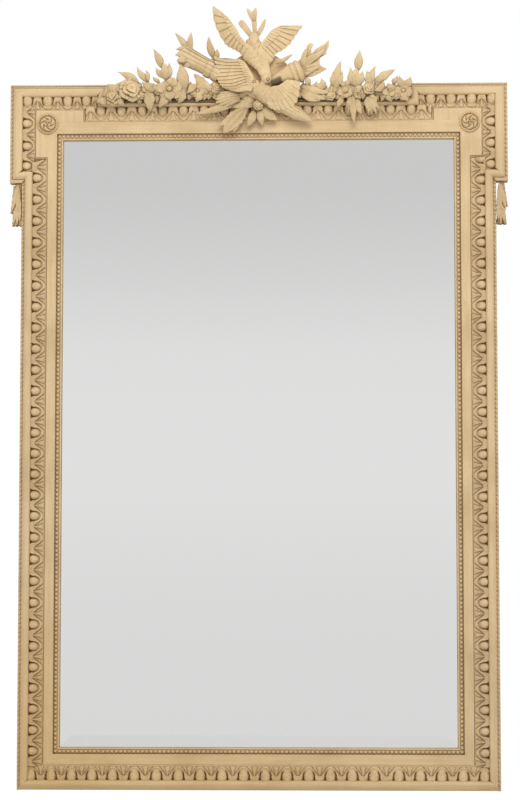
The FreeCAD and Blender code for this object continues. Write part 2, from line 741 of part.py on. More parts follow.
def garland(leaves, flowers, reach):
    """Stem, leaves and flowers of one side, carved from a single piece."""
    side = 1.0 if reach > 0 else -1.0
    stem_depth = FRONT + 0.7 * STEM_R
    start = crest_at(side * 60.0, 6.0)
    middle = crest_at(reach * 0.55, -2.0)
    end = crest_at(reach, 2.0)
    path = Part.Wire([Part.Arc(at(start[0], stem_depth, start[1]), at(middle[0], stem_depth, middle[1]),
                               at(end[0], stem_depth, end[1])).toShape()])
    way = path.Edges[0].tangentAt(path.Edges[0].FirstParameter)
    ring = Part.Wire(Part.makeCircle(STEM_R, at(start[0], stem_depth, start[1]), way))
    stem = path.makePipeShell([ring], True, True)
    pieces = [leaf(crest_at(*tail), crest_at(*tip), width, FRONT + rise, LEAF_T)
              for tail, tip, width, rise in leaves]
    for x, z, radius, lobes in flowers:
        fx, fz = crest_at(x, z)
        pieces.append(flower(fx, fz, radius, FRONT + 1.0, lobes))
    behind = block(-EAR_X, EAR_X, BOTTOM, 2.0 * EAR_TOP, 0.0, FRONT)
    return stem.cut(behind).multiFuse(pieces)


def turned_shaft(axis, radii, depth):
    """A turned body about a slanting axis: radii at shares of its length."""
    (x0, z0), (x1, z1) = crest_at(*axis[0]), crest_at(*axis[1])
    start = at(x0, depth, z0)
    way = at(x1, depth, z1) - start
    out = Vector(way.z, 0, -way.x).normalize()
    loop = [start] + [start + way * share + out * radius for share, radius in radii] + [start + way]
    face = Part.Face(Part.makePolygon(loop + loop[:1]))
    return face.revolve(start, way, 360)


def crest_point(x, z, rise):
    """A point of the crest, given how far it stands in front of the frame."""
    fx, fz = crest_at(x, z)
    return at(fx, FRONT + rise, fz)


def dove_body(tail, breast, girth, head, head_r, beak):
    """A bird's body: a tear-shaped trunk, a tapering neck, a round head and a pointed beak."""
    tail_p, breast_p, head_p, beak_p = [crest_point(*place) for place in (tail, breast, head, beak)]
    way = breast_p - tail_p
    chest_p = breast_p - way * (girth / way.Length)
    rump_way = chest_p - tail_p
    rump = Part.makeCone(0.2 * girth, 0.96 * girth, rump_way.Length, tail_p, rump_way)
    chest = Part.makeSphere(girth, chest_p)
    nape = tail_p + way * 0.74
    neck_way = head_p - nape
    neck = Part.makeCone(0.8 * girth, 0.9 * head_r, neck_way.Length, nape, neck_way)
    skull = Part.makeSphere(head_r, head_p)
    beak_way = beak_p - head_p
    bill = Part.makeCone(0.72 * head_r, 0.1 * head_r, beak_way.Length, head_p, beak_way)
    return chest.multiFuse([rump, neck, skull, bill])


def wing(root, shoulder, tip, tails, near, thick):
    """A spread wing: an arched leading edge and a scalloped row of feather ends, in two tiers."""
    def tier(share, back, front):
        def draw(x, z):
            return crest_at(root[0] + share * (x - root[0]), root[1] + share * (z - root[1]))
        steps = [[draw(*shoulder), draw(*tip)]]
        here = tip
        for there in tails:
            mid = ((here[0] + there[0]) / 2.0, (here[1] + there[1]) / 2.0)
            span = (there[0] - here[0], there[1] - here[1])
            bulge = (mid[0] - 0.22 * span[1] * lean, mid[1] + 0.22 * span[0] * lean)
            steps.append([draw(*bulge), draw(*there)])
            here = there
        steps.append([draw(*root)])
        return arc_slab(draw(*root), steps, back, front)

    turn = ((tip[0] - root[0]) * (tails[0][1] - root[1]) - (tip[1] - root[1]) * (tails[0][0] - root[0]))
    lean = -1.0 if turn > 0 else 1.0
    low = tier(1.0, near, near + 0.55 * thick)
    high = tier(0.62, near + 0.55 * thick, near + thick)
    return low.fuse(high)


def largest(shape):
    """The biggest solid of a trimmed carving."""
    return max(shape.Solids, key=lambda solid: solid.Volume)


def save_solids(node, shape):
    """Write a trimmed carving, leaving out crumbs that the trimming cut loose."""
    limit = 0.02 * largest(shape).Volume
    save(node, *[solid for solid in shape.Solids if solid.Volume > limit])


def build_crest():
    """Doves, quiver, torch, ribbon and garlands on a core block that stands on the frame."""
    seat = block(-EAR_X, EAR_X, BOTTOM, 2.0 * EAR_TOP, 0.0, FRONT)
    core_start = crest_at(-78, 0)
    core = arc_slab(core_start, [
        [crest_at(-72, 55), crest_at(-30, 92)],
        [crest_at(0, 100), crest_at(30, 92)],
        [crest_at(80, 50), crest_at(92, 0)],
        [core_start],
    ], BOARD_T, FRONT)
    save("crest_core", core)

    upper = dove_body((-13, 158, 10), (4, 78, 31), 20, (20, 36, 26), 10, (7, 20, 26))
    lower = dove_body((-74, -18, 8), (-4, -2, 26), 17, (-13, 28, 26), 9.5, (4.8, 22.2, 26))
    upper_wings = [
        wing((-14, 92), (-62, 162), (-102, 204), [(-96, 172), (-88, 146), (-72, 122), (-58, 102)], FRONT, 12),
        wing((2, 92), (34, 142), (99, 159), [(86, 136), (71, 117), (50, 98), (32, 84)], FRONT, 12),
    ]
    tail = [leaf(crest_at(-10, 128), crest_at(*tip), wide, FRONT, 7.0) for tip, wide in
            (((-42, 174), 15), ((-23, 199), 13), ((-6, 200), 13), ((15, 176), 12))]
    tail = tail[0].multiFuse(tail[1:])
    lower_wings = [
        wing((-22, 6), (-26, 76), (-101, 84), [(-104, 66), (-102, 48), (-97, 32), (-84, 16)], FRONT + 6, 12),
        wing((10, 4), (30, 32), (92, 12), [(94, -2), (88, -16), (72, -26), (52, -30)], FRONT + 6, 12),
    ]
    birds = [upper, lower]
    upper_wings = [piece.cut(upper) for piece in upper_wings]
    tail = tail.cut(upper).cut(upper_wings[0]).cut(upper_wings[1])
    lower_wings = [piece.cut(upper).cut(lower).cut(upper_wings[0]).cut(upper_wings[1])
                   for piece in lower_wings]
    save("upper_dove", largest(upper))
    save("upper_dove_wings", *[largest(piece) for piece in upper_wings])
    save("upper_dove_tail", largest(tail))
    save("lower_dove", largest(lower))
    save("lower_dove_wings", *[largest(piece) for piece in lower_wings])
    done = birds + upper_wings + [tail] + lower_wings

    quiver = turned_shaft(QUIVER, [(0.0, 21), (0.0, 27), (0.04, 27), (0.06, 24), (0.2, 21), (0.2, 23.5),
                                   (0.225, 23.5), (0.24, 21.5), (0.265, 23.5), (0.29, 23.5), (0.29, 20.5),
                                   (0.88, 12), (0.9, 14), (0.94, 14), (0.96, 11), (1.0, 3)], FRONT + 6)
    torch = turned_shaft(TORCH, [(0.0, 4), (0.02, 9), (0.06, 9), (0.08, 7.5), (0.6, 14), (0.84, 20),
                                 (0.86, 23), (0.9, 23), (0.92, 20), (0.96, 26), (1.0, 26)], FRONT + 4)
    flame_tail = (90, 55)
    tongues = [leaf(crest_at(*flame_tail), crest_at(*tip), wide, FRONT, thick) for tip, wide, thick in
               (((124, 120), 26, 14), ((162, 125), 30, 18), ((155, 96), 26, 16), ((154, 62), 24, 14))]
    flame = tongues[0].multiFuse(tongues[1:])
    quiver = quiver.cut(seat)
    torch = torch.cut(seat)
    for piece in done:
        quiver = quiver.cut(piece)
        torch = torch.cut(piece)
    torch = torch.cut(quiver)
    flame = flame.cut(torch)
    for piece in done:
        flame = flame.cut(piece)
    save_solids("quiver", quiver)
    save_solids("torch", torch)
    save_solids("torch_flame", flame)
    done += [quiver, torch, flame]

    knot = flower(*crest_at(0, -32), 11, FRONT + 1.0, 6)
    bands = [leaf(crest_at(*tail), crest_at(*tip), wide, FRONT + rise, 6.0) for tail, tip, wide, rise in
             (((4, -31), (-64, -44), 17, 0.0), ((3, -24), (-57, -84), 26, 0.8), ((-4, -28), (50, -66), 18, 0.4),
              ((-3, -22), (18, -84), 17, 1.2), ((0, -42), (0, -12), 14, 0.0))]
    ribbon = knot.multiFuse(bands)
    save_solids("ribbon_knot", ribbon)
    done.append(ribbon)

    for name, leaves, flowers, reach in (("garland_left", LEFT_LEAVES, LEFT_FLOWERS, -345.0),
                                         ("garland_right", RIGHT_LEAVES, RIGHT_FLOWERS, 360.0)):
        sprays = garland(leaves, flowers, reach)
        for piece in done:
            sprays = sprays.cut(piece)
        save_solids(name, sprays)
        done.append(sprays)


def main():
    os.makedirs("parts", exist_ok=True)
    build_carcase()
    build_inner_members()
    build_outer_members()
    build_glass()
    build_back()
    build_hangers()
    build_rosettes()
    build_drops()
    build_crest()


main()
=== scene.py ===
"""Looks of a carved wall mirror with eared corners and a crest of doves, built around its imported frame.

Lengths are metres. Crest places are millimetres: x from the middle, z from the top of the frame,
rise from the front of the moulding towards the viewer.
"""

import bpy
import numpy as np
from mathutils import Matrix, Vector


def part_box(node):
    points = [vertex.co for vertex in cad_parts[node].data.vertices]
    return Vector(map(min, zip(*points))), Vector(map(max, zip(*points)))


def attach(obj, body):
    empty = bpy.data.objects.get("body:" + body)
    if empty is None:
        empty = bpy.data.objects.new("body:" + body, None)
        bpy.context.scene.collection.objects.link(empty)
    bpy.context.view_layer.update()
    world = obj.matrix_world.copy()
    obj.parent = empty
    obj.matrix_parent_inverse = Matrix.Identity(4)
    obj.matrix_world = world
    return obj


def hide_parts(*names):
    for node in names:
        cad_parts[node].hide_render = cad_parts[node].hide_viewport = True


bl_info = {
    "name": "Carved Wall Mirror",
    "version": (1, 0, 0),
    "blender": (4, 5, 0),
    "location": "3D View > Sidebar > Mirror",
    "description": "Carves the mouldings, crest and fittings of an eared wall mirror around its frame",
    "category": "Add Mesh",
}

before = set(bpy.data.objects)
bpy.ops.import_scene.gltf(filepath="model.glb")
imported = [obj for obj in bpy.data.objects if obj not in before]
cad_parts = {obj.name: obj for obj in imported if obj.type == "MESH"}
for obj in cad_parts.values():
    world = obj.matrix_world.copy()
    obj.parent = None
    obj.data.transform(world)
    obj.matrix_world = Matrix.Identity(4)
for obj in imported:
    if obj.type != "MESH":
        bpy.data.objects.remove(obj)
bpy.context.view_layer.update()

MM = 0.001
PI = np.pi
TURN = 2 * np.pi
VIEWER = np.array((0.0, -1.0, 0.0))
LEFT, RIGHT = -1.0, 1.0


def edge(node, axis, side):
    """Place of the low (0) or high (1) side of a node along axis 0, 1 or 2."""
    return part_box(node)[side][axis]


SIGHT_X = -edge("field_left", 0, 1)
SIGHT_Z = edge("field_top", 2, 0)
MEMBER_W = -SIGHT_X - edge("field_left", 0, 0)
TOP_MEMBER_W = edge("field_top", 2, 1) - SIGHT_Z
BODY_X = -edge("cornice_left", 0, 0)
BODY_TOP = edge("cornice_top", 2, 1)
BODY_FOOT = edge("cornice_bottom", 2, 0)
EAR_X = -edge("cornice_ear_side_left", 0, 0)
EAR_TOP = edge("cornice_ear_top_left", 2, 1)
EAR_FOOT = edge("cornice_ear_side_left", 2, 0)
EAR_END = -edge("cornice_ear_top_left", 0, 1)
OUTER_W = edge("cornice_bottom", 2, 1) - BODY_FOOT
EGG_OUT = edge("egg_dart_bottom", 2, 0) - BODY_FOOT
EGG_IN = edge("egg_dart_bottom", 2, 1) - BODY_FOOT
FACE = -edge("cornice_left", 1, 1)
FRONT = -edge("cornice_left", 1, 0)
GROUND = -edge("egg_dart_left", 1, 1)
CHANNEL = -edge("pearls_left", 1, 1)
LIP_BACK = -edge("field_left", 1, 1)
FIELD_FACE = -edge("corner_field_left", 1, 0)
RIM_FLOOR = -edge("rim_beads_left", 1, 1)
PEARL_R = -edge("pearls_left", 1, 0) - CHANNEL
PEARL_IN = -edge("pearls_left", 0, 1) - SIGHT_X + PEARL_R
CREST_FOOT = BODY_TOP - 0.005


def srgb(red, green, blue):
    """A colour as seen on a screen, 0 to 255, as linear light."""
    seen = np.array((red, green, blue)) / 255.0
    light = np.where(seen <= 0.04045, seen / 12.92, ((seen + 0.055) / 1.055) ** 2.4)
    return tuple(float(value) for value in light)


class MirrorMouldings(bpy.types.PropertyGroup):
    """Sizes of the mouldings and of the carving in them."""

    arris: bpy.props.FloatProperty(
        name="Worn arris", description="How far the edges of the mouldings are rounded by wear",
        default=0.0011, unit="LENGTH")
    egg_height: bpy.props.FloatProperty(
        name="Egg height", description="How far an egg stands out of its ground",
        default=0.0118, unit="LENGTH")
    carving_step: bpy.props.FloatProperty(
        name="Carving step", description="Spacing of the grid that carries the egg and dart",
        default=0.0012, unit="LENGTH")
    pearl_pitch: bpy.props.FloatProperty(
        name="Pearl pitch", description="Distance between the pearls round the glass",
        default=0.0097, unit="LENGTH")
    rim_pitch: bpy.props.FloatProperty(
        name="Rim bead pitch", description="Distance between the beads on the outer edge",
        default=0.0102, unit="LENGTH")


class MirrorCrest(bpy.types.PropertyGroup):
    """Sizes of the crest's carving."""

    leaf_thickness: bpy.props.FloatProperty(
        name="Leaf thickness", description="Thickness of a leaf at its middle",
        default=0.0065, unit="LENGTH")
    feather_thickness: bpy.props.FloatProperty(
        name="Feather thickness", description="Thickness of a feather at its middle",
        default=0.0046, unit="LENGTH")
    petal_thickness: bpy.props.FloatProperty(
        name="Petal thickness", description="Thickness of a petal at its middle",
        default=0.0036, unit="LENGTH")


class MirrorFinish(bpy.types.PropertyGroup):
    """Colours of the finishes."""

    pale_wood: bpy.props.FloatVectorProperty(
        name="Pale wood", description="Stripped wood where it is cleanest",
        subtype="COLOR", size=3, min=0.0, max=1.0, default=srgb(231, 206, 166))
    deep_wood: bpy.props.FloatVectorProperty(
        name="Deep wood", description="Stripped wood in the darker streaks of its grain",
        subtype="COLOR", size=3, min=0.0, max=1.0, default=srgb(210, 179, 132))
    crest_tint: bpy.props.FloatVectorProperty(
        name="Crest tint", description="How much paler the wood of the crest is than the frame, for each colour",
        subtype="COLOR", size=3, min=0.0, max=2.0, default=(1.06, 1.07, 1.05))
    # Colour of the dirt in the carving, and of the painted shade in its hollows and where walls stand close.
    carving_dirt_and_shade: bpy.props.FloatVectorProperty(
        name="Old dirt", description="What has gathered in the hollows of the carving",
        subtype="COLOR", size=3, min=0.0, max=1.0, default=srgb(118, 86, 46))
    # Colour of the painted shade, and of the dirt, deep between the leaves and feathers of the crest.
    crest_dirt_and_shade: bpy.props.FloatVectorProperty(
        name="Crest dirt", description="What has gathered deep between the leaves and feathers of the crest",
        subtype="COLOR", size=3, min=0.0, max=1.0, default=srgb(62, 36, 13))
    back_wood: bpy.props.FloatVectorProperty(
        name="Back wood", description="Unfinished softwood of the carcase and the back boards",
        subtype="COLOR", size=3, min=0.0, max=1.0, default=srgb(178, 140, 96))
    silver: bpy.props.FloatVectorProperty(
        name="Silvering", description="Tint of the mirror",
        subtype="COLOR", size=3, min=0.0, max=1.0, default=(0.90, 0.905, 0.90))
    brass: bpy.props.FloatVectorProperty(
        name="Hanger metal", description="Dull brass of the straps and rings",
        subtype="COLOR", size=3, min=0.0, max=1.0, default=srgb(170, 136, 78))
    steel: bpy.props.FloatVectorProperty(
        name="Screw metal", description="Dull steel of the screws",
        subtype="COLOR", size=3, min=0.0, max=1.0, default=srgb(122, 118, 112))


class MirrorStage(bpy.types.PropertyGroup):
    """Camera and light."""

    camera_place: bpy.props.FloatVectorProperty(
        name="Camera", description="Where the camera stands",
        subtype="TRANSLATION", size=3, default=(0.1278, -4.612, -0.247))
    camera_turn: bpy.props.FloatVectorProperty(
        name="Camera turn", description="How the camera is turned",
        subtype="EULER", size=3, default=(PI / 2 + 0.0735, 0.0, 0.027))
    lens: bpy.props.FloatProperty(
        name="Lens", description="Focal length for a 36 mm long side", default=92.2, unit="CAMERA")
    key_power: bpy.props.FloatProperty(
        name="Key light", description="Power of the large light above and in front",
        default=56.0, unit="POWER")


def smooth_line(points, count):
    """Points along a curve through the given ones: between two of them a cubic, whose slope at each
    is half the step between its neighbours."""
    points = np.asarray(points, float)
    padded = np.concatenate(([2 * points[0] - points[1]], points, [2 * points[-1] - points[-2]]))
    place = np.linspace(0, len(points) - 1, count)
    left = np.minimum(place.astype(int), len(points) - 2)
    t = (place - left).reshape((-1,) + (1,) * (points.ndim - 1))
    p0, p1, p2, p3 = (padded[left + k] for k in range(4))
    return 0.5 * (2 * p1 + (p2 - p0) * t + (2 * p0 - 5 * p1 + 4 * p2 - p3) * t**2
                  + (3 * p1 - p0 - 3 * p2 + p3) * t**3)


def unit(vectors):
    """Vectors brought to length one."""
    return vectors / np.linalg.norm(vectors, axis=-1, keepdims=True)


def step(low, high, value):
    """Rises smoothly from 0 at low to 1 at high."""
    t = np.clip((value - low) / (high - low), 0.0, 1.0)
    return t * t * (3 - 2 * t)


class Carving:
    """Gathers grids of points into one mesh, with a hollow value for each point."""

    def __init__(self):
        self.points = []
        self.quads = []
        self.ends = []
        self.hollow = []
        self.count = 0

    def add_round(self, grid, hollow=None):
        """A grid whose columns close into rings: each cell becomes a face, each end ring a flat end.
        Faces are turned outwards by the sign of the volume they enclose."""
        rows, columns = grid.shape[:2]
        index = self.count + np.arange(rows * columns).reshape(rows, columns)
        after = np.roll(index, -1, axis=1)
        quads = np.stack((index[:-1], after[:-1], after[1:], index[1:]), axis=-1).reshape(-1, 4)
        points = grid.reshape(-1, 3)
        corners = points[quads - self.count] - points.mean(axis=0)
        normal = np.cross(corners[:, 2] - corners[:, 0], corners[:, 3] - corners[:, 1])
        if np.einsum("ij,ij->", normal, corners.mean(axis=1)) < 0:
            quads = quads[:, ::-1]
            ends = (index[0], index[-1][::-1])
        else:
            ends = (index[0][::-1], index[-1])
        self._keep(points, quads, hollow)
        self.ends.extend(list(ring) for ring in (end.tolist() for end in ends))

    def add_copies(self, shape, quads, places):
        """The same small shape at many places."""
        points = (shape[None] + places[:, None]).reshape(-1, 3)
        offsets = self.count + len(shape) * np.arange(len(places))
        faces = (quads[None] + offsets[:, None, None]).reshape(-1, 4)
        self._keep(points, faces, None)

    def _keep(self, points, quads, hollow):
        self.points.append(points)
        self.quads.append(quads)
        self.hollow.append(np.zeros(len(points)) if hollow is None
                           else np.broadcast_to(hollow, len(points)).ravel()
                           if np.ndim(hollow) < 2 else hollow.ravel())
        self.count += len(points)

    def build(self, name, material, body, replaced, sharp=50.0):
        """Makes the mesh object, gives it its finish and ties it to the frame."""
        mesh = bpy.data.meshes.new(name)
        faces = np.concatenate(self.quads).tolist() + self.ends
        mesh.from_pydata(np.concatenate(self.points).tolist(), [], faces)
        mesh.attributes.new("hollow", "FLOAT", "POINT").data.foreach_set(
            "value", np.concatenate(self.hollow).astype(np.float32))
        mesh.polygons.foreach_set("use_smooth", np.ones(len(mesh.polygons), bool))
        mesh.set_sharp_from_angle(angle=np.radians(sharp))
        mesh.update()
        if mesh.validate(verbose=False):
            raise RuntimeError(name + " has faces that Blender had to mend")
        mesh.materials.append(material)
        piece = bpy.data.objects.new(name, mesh)
        bpy.context.scene.collection.objects.link(piece)
        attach(piece, body)
        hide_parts(*replaced)
        return piece


class Run:
    """One mitred length of moulding: a straight line on the face with the glass on its left."""

    def __init__(self, before, start, end, after):
        before, start, end, after = (np.asarray(point, float) for point in (before, start, end, after))
        self.start, self.end = start, end
        self.length = float(np.linalg.norm(end - start))
        self.along = (end - start) / self.length
        self.across = np.array((-self.along[1], self.along[0]))
        self.start_mitre = self._mitre(start - before)
        self.end_mitre = self._mitre(after - end)

    def _mitre(self, other):
        other = other / np.linalg.norm(other)
        across = np.array((-other[1], other[0]))
        return (self.across + across) / (1.0 + self.across @ across)

    def carry(self, profile):
        """The profile (inward distance, depth) carried from one mitred end to the other."""
        inward, depth = profile[:, :1], profile[:, 1]
        ends = np.stack((self.start + self.start_mitre * inward, self.end + self.end_mitre * inward))
        return np.stack((ends[..., 0], np.broadcast_to(-depth, ends.shape[:2]), ends[..., 1]), axis=-1)

    def place(self, along, inward, depth):
        """Points at a distance along the line, inwards from it and out from the wall."""
        along, inward, depth = np.broadcast_arrays(along, inward, depth)
        spot = (self.start + self.along * along[..., None] + self.across * inward[..., None])
        return np.stack((spot[..., 0], -depth, spot[..., 1]), axis=-1)


def runs_round(corners):
    """Mitred lengths between the corners of a closed line."""
    count = len(corners)
    return [Run(corners[k - 1], corners[k], corners[(k + 1) % count], corners[(k + 2) % count])
            for k in range(count)]


INNER_NAMES = ("bottom", "right", "top", "left")
INNER = dict(zip(INNER_NAMES, runs_round((
    (-SIGHT_X, -SIGHT_Z), (SIGHT_X, -SIGHT_Z), (SIGHT_X, SIGHT_Z), (-SIGHT_X, SIGHT_Z)))))
OUTER_NAMES = ("right", "foot_right", "ear_side_right", "ear_top_right", "end_right", "top",
               "end_left", "ear_top_left", "ear_side_left", "foot_left", "left", "bottom")
OUTER = dict(zip(OUTER_NAMES, runs_round((
    (BODY_X, BODY_FOOT), (BODY_X, EAR_FOOT), (EAR_X, EAR_FOOT), (EAR_X, EAR_TOP), (EAR_END, EAR_TOP),
    (EAR_END, BODY_TOP), (-EAR_END, BODY_TOP), (-EAR_END, EAR_TOP), (-EAR_X, EAR_TOP),
    (-EAR_X, EAR_FOOT), (-BODY_X, EAR_FOOT), (-BODY_X, BODY_FOOT)))))


def worn_profile(corners, steps=4):
    """A closed profile whose corners are worn round: each corner (inward, depth, wear) is replaced by
    a parabola that starts and ends at its wear distance on the two lines that meet there."""
    corners = np.asarray(corners, float)
    spot, wear = corners[:, :2], corners[:, 2:]
    back, ahead = np.roll(spot, 1, axis=0) - spot, np.roll(spot, -1, axis=0) - spot
    room_back = np.linalg.norm(back, axis=1, keepdims=True)
    room_ahead = np.linalg.norm(ahead, axis=1, keepdims=True)
    first = spot + back / room_back * np.minimum(wear, 0.45 * room_back)
    last = spot + ahead / room_ahead * np.minimum(wear, 0.45 * room_ahead)
    t = np.linspace(0, 1, steps)[None, :, None]
    rounded = (1 - t)**2 * first[:, None] + 2 * t * (1 - t) * spot[:, None] + t**2 * last[:, None]
    plain = wear[:, 0] == 0
    return np.concatenate([spot[k:k + 1] if plain[k] else rounded[k] for k in range(len(spot))])


def tube(path, radii, ring=16, flat=1.0, relief=0.0):
    """A ring carried along a curve: centre(u) + radius(u) (1 + relief(u, v)) (cos v side + flat sin v front),
    where side and front stand square to the curve and front looks to the viewer."""
    way = unit(np.gradient(path, axis=0))
    side = unit(np.cross(way, VIEWER + np.array((0.0, 0.0, 0.003))))
    front = np.cross(side, way)
    front = front * np.sign(front @ VIEWER + 1e-9)[:, None]
    v = np.linspace(0, TURN, ring, endpoint=False)
    reach = np.asarray(radii)[:, None] * (1 + relief)
    return (path[:, None] + (reach * np.cos(v))[..., None] * side[:, None]
            + (flat * reach * np.sin(v))[..., None] * front[:, None])


def blade(tail, tip, width, thick, full=0.42, bow=0.0, sway=0.0, arch=0.0, curl=0.0, cup=0.0, rib=0.0,
          veins=0.0, lobes=0, notch=0.3, twist=0.0, blunt=0.0, slim=0.85, root=0.12, face=VIEWER, rows=16, ring=14):
    """A leaf, petal, feather or tongue of flame, and the hollow value of its points.

    u runs from tail to tip and v round a lens. The half width is the sine of PI u**power, whose top is
    at full, to the power slim, blended by blunt with a strip that ends square, and cut by lobes. To the lens are added a
    bow and a sway to the sides, an arch and a curl to the front, a cup that lifts both edges, a midrib,
    and veins that run slantwise from it. The section turns by twist from tail to tip."""
    tail, tip = np.asarray(tail, float), np.asarray(tip, float)
    length = np.linalg.norm(tip - tail)
    along = (tip - tail) / length
    side = unit(np.cross(along, np.asarray(face, float) + np.array((0.0003, 0.0, 0.0007))))
    out = np.cross(side, along)
    out = out * np.sign(out @ np.asarray(face, float))
    u = np.linspace(0.0, 0.985, rows)[:, None]
    v = np.linspace(0, TURN, ring, endpoint=False)[None]
    power = np.log(0.5) / np.log(full)
    leaf = np.sin(PI * u**power)**slim + root * (1 - u)**3
    strip = (0.62 + 0.38 * u) * (1 - u**20)**0.6
    half = 0.5 * width * ((1 - blunt) * leaf + blunt * strip)
    if lobes:
        half = half * (1 - notch * (1 - np.abs(np.sin(PI * lobes * u))))
    half = np.maximum(half, 0.03 * width)
    a, b = np.cos(v), np.sin(v)
    front = np.clip(b, 0, 1)**0.5
    spread = np.abs(a)
    lens = 0.5 * thick * np.where(b > 0, b, 0.7 * b) * (0.45 + 0.55 * np.sin(PI * u**0.7))
    fade = 1 - 0.75 * u
    ridge = rib * front * fade * (np.exp(-(a / 0.17)**2) - 0.7 * np.exp(-((spread - 0.42) / 0.2)**2))
    groove = 0.0
    if veins:
        groove = 0.45 * rib * front * fade * np.cos(TURN * (veins * u - 1.1 * spread)) * step(0.1, 0.4, spread)
    x = half * a
    y = lens + ridge + groove + cup * half * a * a
    angle = twist * u
    x, y = x * np.cos(angle) - y * np.sin(angle), x * np.sin(angle) + y * np.cos(angle)
    hump = 4 * u * (1 - u)
    points = (tail + along * (length * u)[..., None] + side * (x + bow * hump + sway * np.sin(TURN * u))[..., None]
              + out * (y + arch * hump + curl * u**3)[..., None])
    # Painted shade along the edges of the lens, beside the rib and towards the tail.
    dark = np.clip(0.72 * np.exp(-(b / 0.32)**2) + 0.4 * np.exp(-((spread - 0.4) / 0.2)**2) * (rib > 0)
                   + 0.30 * (1 - u)**3, 0, 1)
    return points, np.broadcast_to(dark, points.shape[:2])


def crest(x, z, rise=0.0):
    """A crest place in millimetres as a point in the frame."""
    return np.array((x * MM, -(FRONT + rise * MM), CREST_FOOT + z * MM))


def crest_line(points):
    """Crest places (x, z, rise) in millimetres as points in the frame."""
    points = np.asarray(points, float) * MM
    return np.stack((points[:, 0], -(FRONT + points[:, 2]), CREST_FOOT + points[:, 1]), axis=-1)


def ball(centre, radius, rings=9, ring=14, squash=(1.0, 1.0, 1.0)):
    """A ball: radius times (sin a cos b, cos a, sin a sin b), squashed along each axis."""
    a = np.linspace(0.02, PI - 0.02, rings)[:, None]
    b = np.linspace(0, TURN, ring, endpoint=False)[None]
    shape = np.stack(np.broadcast_arrays(np.sin(a) * np.cos(b), np.cos(a), np.sin(a) * np.sin(b)), axis=-1)
    return np.asarray(centre) + radius * shape * np.asarray(squash)


def dome(radius, rings=4, ring=8):
    """A small bead as points and faces: a ball's front half with a skirt behind it."""
    a = np.linspace(0.0, PI * 0.5, rings)[::-1, None]
    b = np.linspace(0, TURN, ring, endpoint=False)[None]
    cap = np.stack(np.broadcast_arrays(np.sin(a) * np.cos(b), -np.cos(a), np.sin(a) * np.sin(b)), axis=-1)
    points = radius * cap[:-1].reshape(-1, 3)
    points = np.vstack((points, (0.0, -radius, 0.0)))
    index = np.arange((rings - 1) * ring).reshape(rings - 1, ring)
    after = np.roll(index, -1, axis=1)
    sides = np.stack((index[:-1], index[1:], after[1:], after[:-1]), axis=-1).reshape(-1, 4)
    top = index[-1]
    pole = np.full(ring // 2, len(points) - 1)
    crown = np.stack((top[0::2], pole, np.roll(top, -2)[0::2], top[1::2]), axis=-1)
    return points, np.vstack((sides, crown))


def new_material(name):
    """An empty node material, with its nodes, its links and its shader node."""
    material = bpy.data.materials.new(name)
    material.use_nodes = True
    return material, material.node_tree.nodes, material.node_tree.links, \
        material.node_tree.nodes["Principled BSDF"]


def two_tone(nodes, links, fac, low, high, dark, pale):
    """A ramp from dark to pale between two values."""
    ramp = nodes.new("ShaderNodeValToRGB")
    ramp.color_ramp.elements[0].position = low
    ramp.color_ramp.elements[1].position = high
    ramp.color_ramp.elements[0].color = (*dark, 1.0)
    ramp.color_ramp.elements[1].color = (*pale, 1.0)
    links.new(fac, ramp.inputs["Fac"])
    return ramp.outputs["Color"]


def mixed(nodes, links, fac, first, second):
    """Two colours mixed by a factor. The second may be a fixed colour."""
    mix = nodes.new("ShaderNodeMix")
    mix.data_type = "RGBA"
    links.new(fac, mix.inputs["Factor"])
    links.new(first, mix.inputs[6])
    if isinstance(second, tuple):
        mix.inputs[7].default_value = (*second, 1.0)
    else:
        links.new(second, mix.inputs[7])
    return mix.outputs[2]


def sized_noise(nodes, links, place, scale, detail, rough=0.55):
    """Noise at object coordinates stretched by scale along each axis."""
    mapping = nodes.new("ShaderNodeMapping")
    mapping.inputs["Scale"].default_value = scale
    links.new(place, mapping.inputs["Vector"])
    noise = nodes.new("ShaderNodeTexNoise")
    noise.inputs["Scale"].default_value = 1.0
    noise.inputs["Detail"].default_value = detail
    noise.inputs["Roughness"].default_value = rough
    links.new(mapping.outputs["Vector"], noise.inputs["Vector"])
    return noise.outputs["Fac"]


LOWER_LEFT_TINT = (0.86, 0.71, 0.43)


